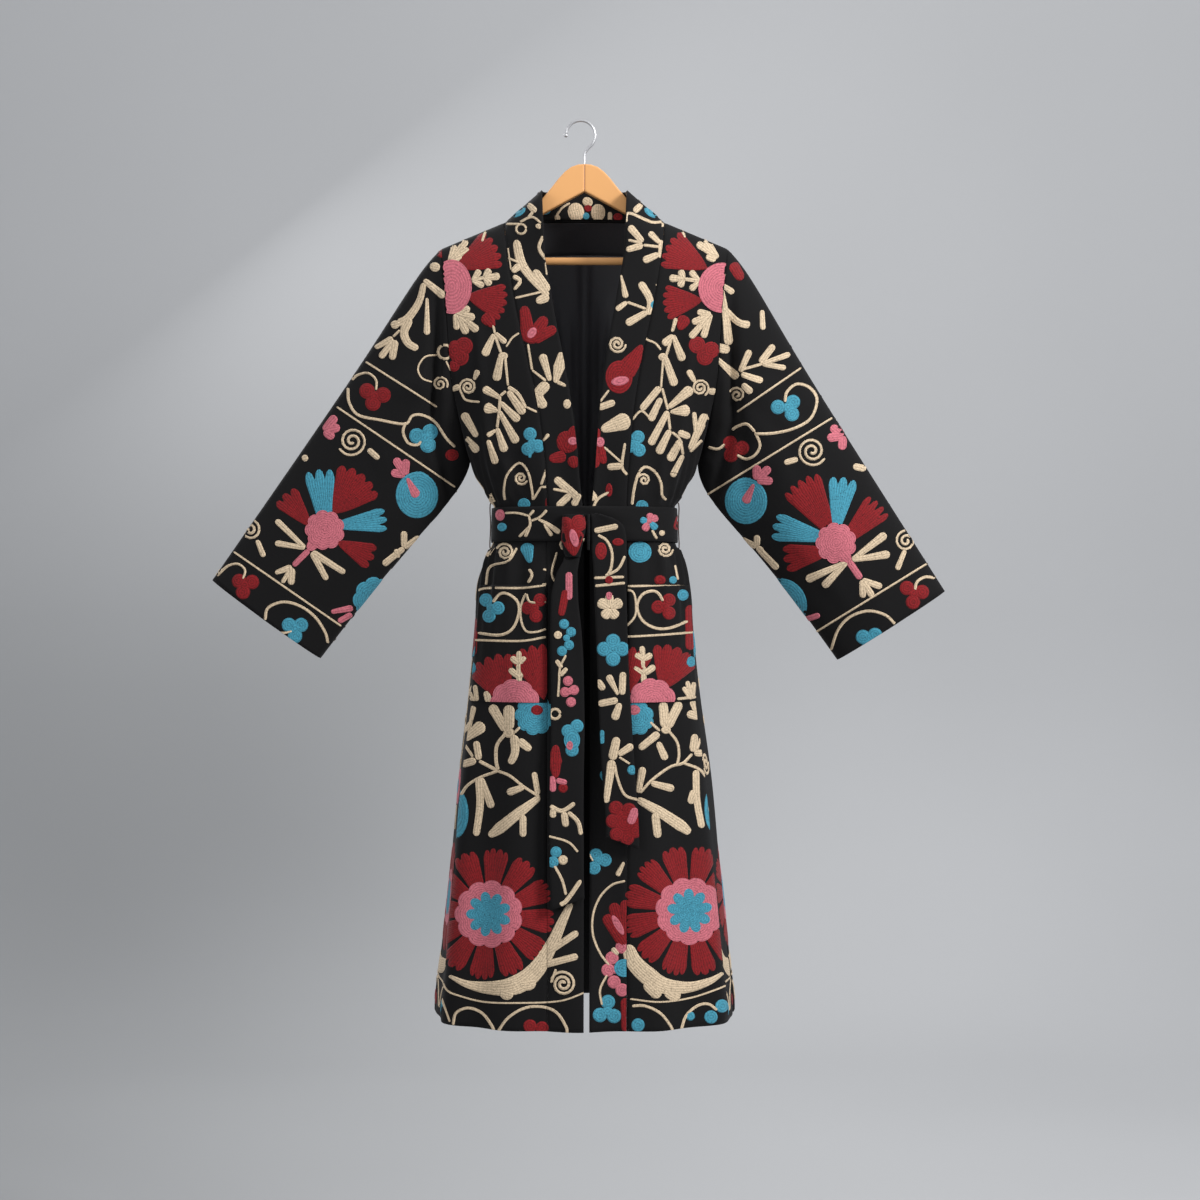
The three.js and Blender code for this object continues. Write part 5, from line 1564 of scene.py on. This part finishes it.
    sleeve_left = """
s c 2.2 2.2 234 552 341 626; s c 2.2 2.2 337 407 455 487; s c 2.2 2.2 366 362 437 407
o r 6.5 239 581 252 582 243 592; s c 2.5 2.5 243 579 245 570 238 564 228 566 217 576
o b 6.5 289 625 301 625 295 636; s c 2.5 2.5 275 632 284 633 292 631
s c 3 3 265 620 268 608 283 602 300 606 315 617 325 632 328 643; w c 250 530 11 2.5 240 2
s c 4 5 257 540 264 557; l P 325 530 20 9 0.12; s P 12 6 318 539 308 550; s p 5 5 309 550 293 566
f r 312 528 -130 42 46 3; f b 328 545 -97 26 78 3 0.35; f r 333 514 -52 68 52 5
f b 325 527 -7 26 64 3 0.25; f r 335 541 24 42 44 3; t c 4 5.5 305 548 276 520 275 543
t c 6 5 312 552 327 580 345 573; s c 6 4 292 567 275 573; s c 4 4 292 567 282 583; s c 6 6 292 568 291 585
d b 417 495 22 24; s P 3 9 407 478 417 497; t P 6 7 405 475 395 458 406 459 391 472
t p 7 8 324 431 336 416 340 427 334 438; w c 352 441 15 2.6 150 -2.3; s c 5 5 368 449 379 459
s c 6 6 302 459 308 457; l b 376 600 24 9 0.1; s p 6 4 353 608 331 612; s p 5 5 352 614 338 622
t c 5 6 404 548 404 531 420 537 383 565; s c 5 5 398 558 396 549; o r 7 367 391 383 395 373 403
s c 2.5 2.5 376 390 376 380 368 373 358 375 352 380
s c 3 3 348 388 349 402 358 415 380 420 405 424 412 416 422 415 435 422 446 438 455 447
s c 3 3 406 422 403 432 408 443 417 445 421 441; o b 7 417 436 430 432 428 445; s c 8 8 440 268 430 266
s c 5 7 424 280 445 297; s c 5 8 424 283 419 302 408 318 398 324; s c 8 6 410 318 404 332 408 343 418 349
s c 3 6 427 298 427 335; s c 6 8 400 323 391 326; s c 2.5 2.5 400 330 393 337; s c 6 4 393 338 375 348
s c 5 6 394 340 380 358; s c 7 6 395 340 392 360; s c 5 5 448 281 447 295; d r 442 253 6 5
r c 445 352 7 3; s c 2 2 446 361 451 371; s c 2 2 437 355 425 357 418 368 422 378 432 382
w c 440 384 8 2.4 30 -1.8; d r 452 455 7 6"""
    sleeve_right = """
s c 2.2 2.2 832 418 705 496; s c 2.2 2.2 801 368 737 412; s c 2.2 2.2 928 563 816 632
o b 6.5 778 407 793 402 792 414
s c 3 3 785 402 787 392 797 384 810 388 817 400 811 418 795 428 775 433 755 434
s c 3 3 755 432 760 445 755 455 746 459 737 455; s c 3 3 755 432 747 424 738 426 732 430
o r 6.5 730 443 742 448 731 455; s c 3 3 725 444 718 449 708 447; f r 836 540 -122 39 72 5 0.25
f b 834 540 -81 30 65 3 0.27; f r 836 550 -46 31 66 4 0.27; f b 838 541 193 28 69 3 0.25
f r 838 549 169 34 57 3 0.3; l P 836 543 20.5 9 0.12; s P 12 6 841 551 850 562; s p 6 6 848 560 861 579
t c 4 7.5 852 560 886 534 890 554; t c 4 7.5 847 562 806 580 823 587
t c 5 6 862 580 882 587 873 597 863 598; d b 746 501 22 24; s P 3 9 754 484 745 503
t P 7 7 757 480 757 465 770 467 773 481; t p 7 8 843 436 831 426 827 438 842 450
w c 812 451 15 2.6 30 2.3; s c 5 5 798 459 784 463; s c 6 6 866 469 853 466; d b 779 606 29 29
s p 5 5 803 620 820 615; s p 5 5 803 622 813 629; t c 5 6 757 547 740 539 757 535 763 552 778 569
w c 906 541 11 2.5 300 -2; s c 4 5 905 550 897 570
s c 3 3 831 650 838 630 850 617 868 611 885 615 895 624; o b 6.5 863 637 875 635 869 647
o r 6.5 907 588 922 592 913 602; s c 3 3 915 590 917 582 925 577 935 578; s r 10 8 732 263 742 280
s c 4 4 717 258 724 277; s c 4 8 718 275 725 310 729 345; s c 4 6 722 285 734 293
s c 5 7 724 308 738 322 750 325; s c 8 8 714 347 730 350; s c 4 8 716 358 738 378; s c 5 6 740 372 750 350
s c 3 3 740 370 762 364; s c 6 6 760 363 774 345; t c 4 5 762 364 790 354 786 368; s c 5 6 741 374 763 381
s c 5 7 742 384 752 393; s c 4 5 762 310 763 330; w c 737 395 8 2.4 200 1.8"""
    belt = """
d p 500 515 5 6; d b 502 527 5 4.5; s c 2.5 2.5 505 513 517 513 529 516; s c 3 3 529 516 534 510
s c 2.5 3.5 529 516 530 525 525 537; s c 2.5 3 530 526 519 537; s c 2.5 3 531 521 540 517 547 510
s c 2.5 5 538 519 549 525 560 533; s c 2.5 4 544 524 552 536; s r 6 6 470 516 480 530; o b 4.5 462 522
t p 4 8.5 649 521 651 513 658 517 644 531; t b 4 7.5 648 521 640 520 657 529; s c 3 3 652 530 657 539
d c 662 533 3 3; d P 649 521 2.5 2.5; s r 5 6 680 514 676 530; s c 3 3 690 518 700 530; o b 4.5 710 522"""
    knot = """
o r 7.5 565 525 579 523; v r 24 572 528 22 572 536 14 573 546 4 574 556; d PP 574 538 4 9 -15
s c 2.5 2.5 556 548 560 540; s c 3 3 586 548 584 538"""
    collar = """
s c 14 14 574 203 578 221; s c 12 12 598 204 598 221; s c 8 8 583 199 592 205; d r 588 208 4 4
d b 586 216 3.5 3.5; s c 2.5 2.5 555 218 562 208 570 203; s c 5 5 557 215 558 221; s c 4 4 610 212 610 221
d r 618 217 5 4; s c 2.5 2.5 536 195 537 208; s c 2.5 2.5 626 190 632 212; d b 545 210 6 5
s c 6 6 640 204 652 214"""
    middle = """
s r 14 8 584 300 578 262; s r 14 9 585 300 596 270; s r 11 8 587 300 610 284; s r 11 8 583 300 562 284
d r 585 296 14 11; d P 586 294 4 7; s c 3 3 585 306 581 340 588 372; t c 4 8 584 330 566 318 602 316
t c 4 8 585 352 604 346 567 348; l b 588 388 17 8 0.14; d P 588 388 6 6; s c 3 3 588 404 582 436 587 470
t c 4 8 584 430 562 420 606 424; t c 5 8 586 458 566 450 606 452; f r 586 512 -90 70 34 5
s c 3 3 586 512 586 522; l p 586 640 20 9 0.14; d R 586 640 7 7; s c 3 3 586 620 580 600
s c 3 3 586 660 592 690 584 716; t c 5 8 588 690 606 676 568 680; t c 5 8 587 706 566 700 608 704
f r 584 768 -90 76 46 5; f b 584 768 -32 30 34 3; f b 584 768 -148 30 34 3
s c 3 3 584 768 590 800 582 836; t c 5 9 587 800 606 786 566 790; t c 5 9 586 820 610 814 562 820
w c 600 850 12 3 0 2.1; w c 568 850 12 3 180 -2.1; o r 7 578 888 592 888 585 900; s c 3 3 585 905 585 960
t c 5 9 585 930 604 916 566 916; t c 5 9 585 950 608 944 562 944; f b 585 1004 -90 80 34 5
s c 3 3 560 1028 572 1012 585 1008 600 1012 612 1028"""


class Embroidery(Designs):
    """Sews every design on the panel that it lies on."""

    front, behind = View(), View(turn=180)
    beside = {"left": View(turn=-90), "right": View(turn=90)}
    leaning = 0.9
    under_armpit = 4  # rows that the upper page still takes
    rosettes = {"left": ((489, 914), 0), "right": ((689, 911), 8)}

    def __init__(self) -> None:
        """Starts with nothing sewn."""
        self.sewn: dict[str, list[bpy.types.Object]] = {}

    def sew(self, page: Page, name: str, panel: str) -> None:
        """Sews a page and notes it under its panel."""
        made = page.sew(f"needlework_{name}")
        if made:
            self.sewn.setdefault(panel, []).append(made)

    def panel(
        self, coat: "Coat", name: str, view: View, lay: Callable[[Page], Page], sides: Sequence[str]
    ) -> None:
        """Sews a front or the back, with the side's own design where the panel turns from the view.

        Args:
            coat: The coat.
            name: The panel.
            view: Its page.
            lay: Lays its designs on a page.
            sides: The side seams at its first and last column, or an empty name for none.
        """
        whole = coat.panels[name]
        armpit = int(np.searchsorted(coat.rows, CUT.armpit_row)) + self.under_armpit
        low = whole.part(slice(armpit, None), slice(None))
        lean = np.abs(low.normals[..., 0]).mean(0)
        count = len(lean)
        straight = np.flatnonzero(lean < self.leaning)
        first = int(straight[0]) if sides[0] else 0
        last = int(straight[-1]) if sides[1] else count - 1
        self.sew(lay(Page(whole.part(slice(0, armpit + 1), slice(None)), view)), f"{name}_upper", name)
        part = whole.part(slice(armpit, None), slice(first, last + 1))
        self.sew(lay(Page(part, view)), name, name)
        for word, columns in zip(sides, (slice(0, first + 1), slice(last, count)), strict=True):
            if word:
                page = Page(whole.part(slice(armpit, None), columns), self.beside[word]).lay(self.side)
                page.lay(self.rosette, to=(600, 914), size=0.9)
                self.sew(page, f"{name}_side_{word}", name)

    def body(self, coat: "Coat", word: str) -> None:
        """A front with its skirt, rosette, band, pocket and the belt's hanging end."""
        place, spin = self.rosettes[word]

        def lay(page: Page) -> Page:
            page.lay(getattr(self, f"skirt_{word}")).lay(getattr(self, f"front_{word}"))
            return page.lay(self.rosette, spin=spin, to=place)

        self.panel(coat, f"front_{word}", self.front, lay, ("", word))
        page = Page(coat.panels[f"band_{word}"], self.front)
        page.lay(getattr(self, f"band_{word}"))
        page.lay(getattr(self, f"skirt_{word}")).lay(self.rosette, spin=spin, to=place)
        self.sew(page, f"band_{word}", f"band_{word}")
        for kind, name in (("pocket", f"pocket_{word}"), ("tail", f"belt_tail_{word}")):
            page = Page(coat.panels[name], self.front).lay(getattr(self, f"{kind}_{word}"))
            self.sew(page, f"{kind}_{word}", name)

    def sleeve(self, coat: "Coat", word: str) -> None:
        """A sleeve's front half, and its back half with the other sleeve's design."""
        panel = coat.panels[f"sleeve_{word}"]
        part = panel.part(slice(None), slice(0, coat.sleeve_half + 1))
        page = Page(part, self.front).lay(getattr(self, f"sleeve_{word}"))
        self.sew(page, f"sleeve_{word}", f"sleeve_{word}")
        other = "right" if word == "left" else "left"
        part = panel.part(slice(None), slice(coat.sleeve_half, None))
        page = Page(part, self.behind).lay(getattr(self, f"sleeve_{other}"), swap="rp")
        self.sew(page, f"sleeve_back_{word}", f"sleeve_{word}")

    def back(self, coat: "Coat") -> None:
        """The back, the collar's inner face, the belt and the knot."""

        def lay(page: Page) -> Page:
            page.lay(self.middle)
            for word, (place, spin) in self.rosettes.items():
                page.lay(getattr(self, f"front_{word}")).lay(getattr(self, f"skirt_{word}"))
                page.lay(self.rosette, spin=spin, to=place, swap="rp")
            return page

        self.panel(coat, "back", self.behind, lay, ("left", "right"))
        inner = coat.panels["collar_back"].turned(CUT.cloth)
        self.sew(Page(inner, self.front).lay(self.collar), "collar", "collar_back")
        page = Page(coat.panels["collar_back"], self.behind).lay(self.collar, down=-12)
        self.sew(page, "collar_back", "collar_back")
        knot = Knot().face(Knot.wraps[0]).part(slice(None), slice(1, 32))
        self.sew(Page(knot, self.front).lay(self.knot), "knot", "belt_round")
        belt = coat.panels["belt_round"]
        middle = belt.points.shape[1] // 2
        quarter = middle // 2
        front = belt.part(slice(None), slice(quarter, middle + quarter + 1))
        self.sew(Page(front, self.front).lay(self.belt), "belt", "belt_round")
        for word, columns in (("left", slice(0, quarter + 1)), ("right", slice(middle + quarter, None))):
            part = belt.part(slice(None), columns)
            self.sew(Page(part, self.behind).lay(self.belt, swap="rb"), f"belt_{word}", "belt_round")

    def build(self, coat: "Coat") -> None:
        """Sews it all."""
        for word in SIDES.values():
            self.body(coat, word)
            self.sleeve(coat, word)
        self.back(coat)


class Knot:
    """The belt's knot: two wraps of the tape."""

    # name, middle x, middle z, wide, tall, deep, taper, lean
    wraps = (
        ("belt_knot", -15, -603, 36, 60, 17, 0.3, 1.5),
        ("belt_knot_side", 6.1, -598, 5, 50, 10, 0.1, 0),
    )

    def face(self, row: tuple) -> Panel:
        """A wrap's outer face as a closed loop of columns."""
        _, mid_x, mid_z, wide, tall, deep, taper, lean = row
        a, t = np.meshgrid(np.linspace(0, 2 * np.pi, 65), np.linspace(0, 1, 34))
        round_ = np.sin(np.pi * (0.08 + 0.84 * t)) ** 0.5
        half = wide / 2 * (0.62 + 0.38 * round_) * (1 - taper * t**1.6)
        sx = np.sign(np.cos(a)) * np.abs(np.cos(a)) ** 0.7
        sy = np.clip(np.sin(a), 0, 1) ** 0.8
        fold = 1 + 0.05 * np.sin(9 * t + 3 * a) * (wide > 10)
        out = deep * (0.35 + 0.65 * round_) * sy * fold
        back = -(CUT.levels.read("front", np.array(mid_z)) + 1.6 + 2.4 + 1.4)
        x = mid_x + half * sx + lean * np.sin(6 * t)
        return Panel(stack(x, back - out, mid_z + tall * (0.5 - t)), (0, -1, 0), loop=True)

    def build(self) -> list[bpy.types.Object]:
        """Makes both wraps and returns them."""
        wraps = []
        for row in self.wraps:
            mesh = gridded(self.face(row))
            bmesh.ops.remove_doubles(mesh, verts=mesh.verts, dist=1e-6)
            bmesh.ops.holes_fill(mesh, edges=[e for e in mesh.edges if e.is_boundary])
            bmesh.ops.triangulate(mesh, faces=[f for f in mesh.faces if len(f.verts) > 4])
            bmesh.ops.recalc_face_normals(mesh, faces=mesh.faces)
            made = piece(f"wrap_{row[0]}", mesh, [Finish.CLOTH], "cloth")
            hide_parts(row[0])
            wraps.append(made)
        return wraps


class Hanger:
    """The wooden hanger, its steel hook and the two thread carriers at the waist."""

    dressed = (
        ("hanger_arm_left", Finish.WOOD),
        ("hanger_arm_right", Finish.WOOD),
        ("hanger_bar", Finish.WOOD),
        ("hanger_hook", Finish.STEEL),
        ("hook_tip", Finish.STEEL),
        ("carrier_left", Finish.CORD),
        ("carrier_right", Finish.CORD),
    )

    def build(self) -> None:
        """Gives each node its finish."""
        for name, finish in self.dressed:
            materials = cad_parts[name].data.materials
            materials.clear()
            materials.append(finish.material())


class Studio:
    """The pale sweep with its painted shadow, the soft lights and the camera at the picture's angle."""

    floor, near, wall, curve, half, high = -1.95, -4.0, 3.9, 1.2, 7.0, 4.5
    flat, bent = 0.4, 0.2  # shares of the sweep that are floor and curve
    across = 1740  # millimetres across the picture at the coat
    sensor = 36

    def sweep(self) -> None:
        """The floor and the backdrop in one bent sheet, darkened low on the left by a painted shadow of the
        coat.
        """
        mesh = bmesh.new()
        bmesh.ops.create_grid(mesh, x_segments=1, y_segments=40, size=0.5)
        for vert in mesh.verts:
            t = vert.co.y + 0.5
            bend = np.clip((t - self.flat) / self.bent, 0, 1) * math.pi / 2
            far = (self.wall - self.near - self.curve) * min(1, t / self.flat)
            above = max(0, (t - self.flat - self.bent) / (1 - self.flat - self.bent))
            y = self.near + far + self.curve * math.sin(bend)
            z = self.floor + self.curve * (1 - math.cos(bend)) + self.high * above
            vert.co = (vert.co.x * 2 * self.half, y, z)
        bmesh.ops.recalc_face_normals(mesh, faces=mesh.faces)
        data = bpy.data.meshes.new("studio_sweep")
        mesh.to_mesh(data)
        mesh.free()
        data.shade_smooth()
        nodes = Nodes("studio_grey_painted_shadow")
        at = nodes.place()
        # Painted shadow: the grey darkens in a soft patch centred low on the left, and a little at random
        # with the noise.
        cloud = nodes.noise(at, 0.5, 2)
        x, _, z = nodes.split(at)
        painted_shadow_falloff = ((x + 1.5).power(2) * 0.45 + (z + 1.5).power(2) * 0.9) * -1
        painted_shadow = nodes.add("ShaderNodeMath", {"operation": "EXPONENT"}, {0: painted_shadow_falloff})
        share = cloud * 0.25 + painted_shadow * 0.7
        data.materials.append(
            nodes.finish(Base_Color=nodes.mix(share, (0.53, 0.535, 0.545), (0.19, 0.195, 0.2)), Roughness=0.9)
        )
        made = bpy.data.objects.new("studio_sweep", data)
        bpy.context.scene.collection.objects.link(made)

    def lamp(
        self,
        name: str,
        place: Sequence[float],
        size: float,
        power: float,
        aim: Sequence[float] = (0, 0, -0.65),
    ) -> None:
        """A soft square lamp that looks at a point, the coat's middle unless another is given."""
        data = bpy.data.lights.new(name, "AREA")
        data.size, data.energy = size, power
        made = bpy.data.objects.new(name, data)
        made.location = place
        made.rotation_euler = (Vector(aim) - Vector(place)).to_track_quat("-Z", "Y").to_euler()
        bpy.context.scene.collection.objects.link(made)

    def build(self) -> None:
        """Sets everything round the coat."""
        self.sweep()
        self.lamp("key", (2.75, -2.1, 1.2), 1.0, 135)
        self.lamp("fill", (-2.4, -2.8, 0.3), 2.2, 40)
        self.lamp("backdrop", (0.9, 0.4, 3.2), 4.5, 75, aim=(0.4, 4.2, -1.0))
        self.lamp("rear", (-1.6, 3.0, 1.4), 1.6, 60)
        world = bpy.data.worlds.new("studio")
        world.use_nodes = True
        world.node_tree.nodes["Background"].inputs[0].default_value = (0.92, 0.95, 1, 1)
        world.node_tree.nodes["Background"].inputs[1].default_value = 0.45
        bpy.context.scene.world = world
        data = bpy.data.cameras.new("camera")
        eye = View.eye
        data.sensor_width, data.lens = self.sensor, self.sensor * -eye[1] / self.across
        camera = bpy.data.objects.new("camera", data)
        camera.location = [v * MM for v in eye]
        camera.rotation_euler = (math.pi / 2, 0, 0)
        bpy.context.scene.collection.objects.link(camera)
        bpy.context.scene.camera = camera
        bpy.context.scene.view_settings.view_transform = "Standard"


def main() -> None:
    """Builds the coat, the hanger and the studio in order."""
    logging.basicConfig(level=logging.INFO, format="%(name)s %(message)s")
    Studio().build()
    coat = Coat()
    coat.build()
    embroidery = Embroidery()
    embroidery.build(coat)
    embroidery.sewn["belt_round"] += Knot().build()
    coat.declare(embroidery.sewn)
    Hanger().build()


if __name__ == "__main__":
    main()
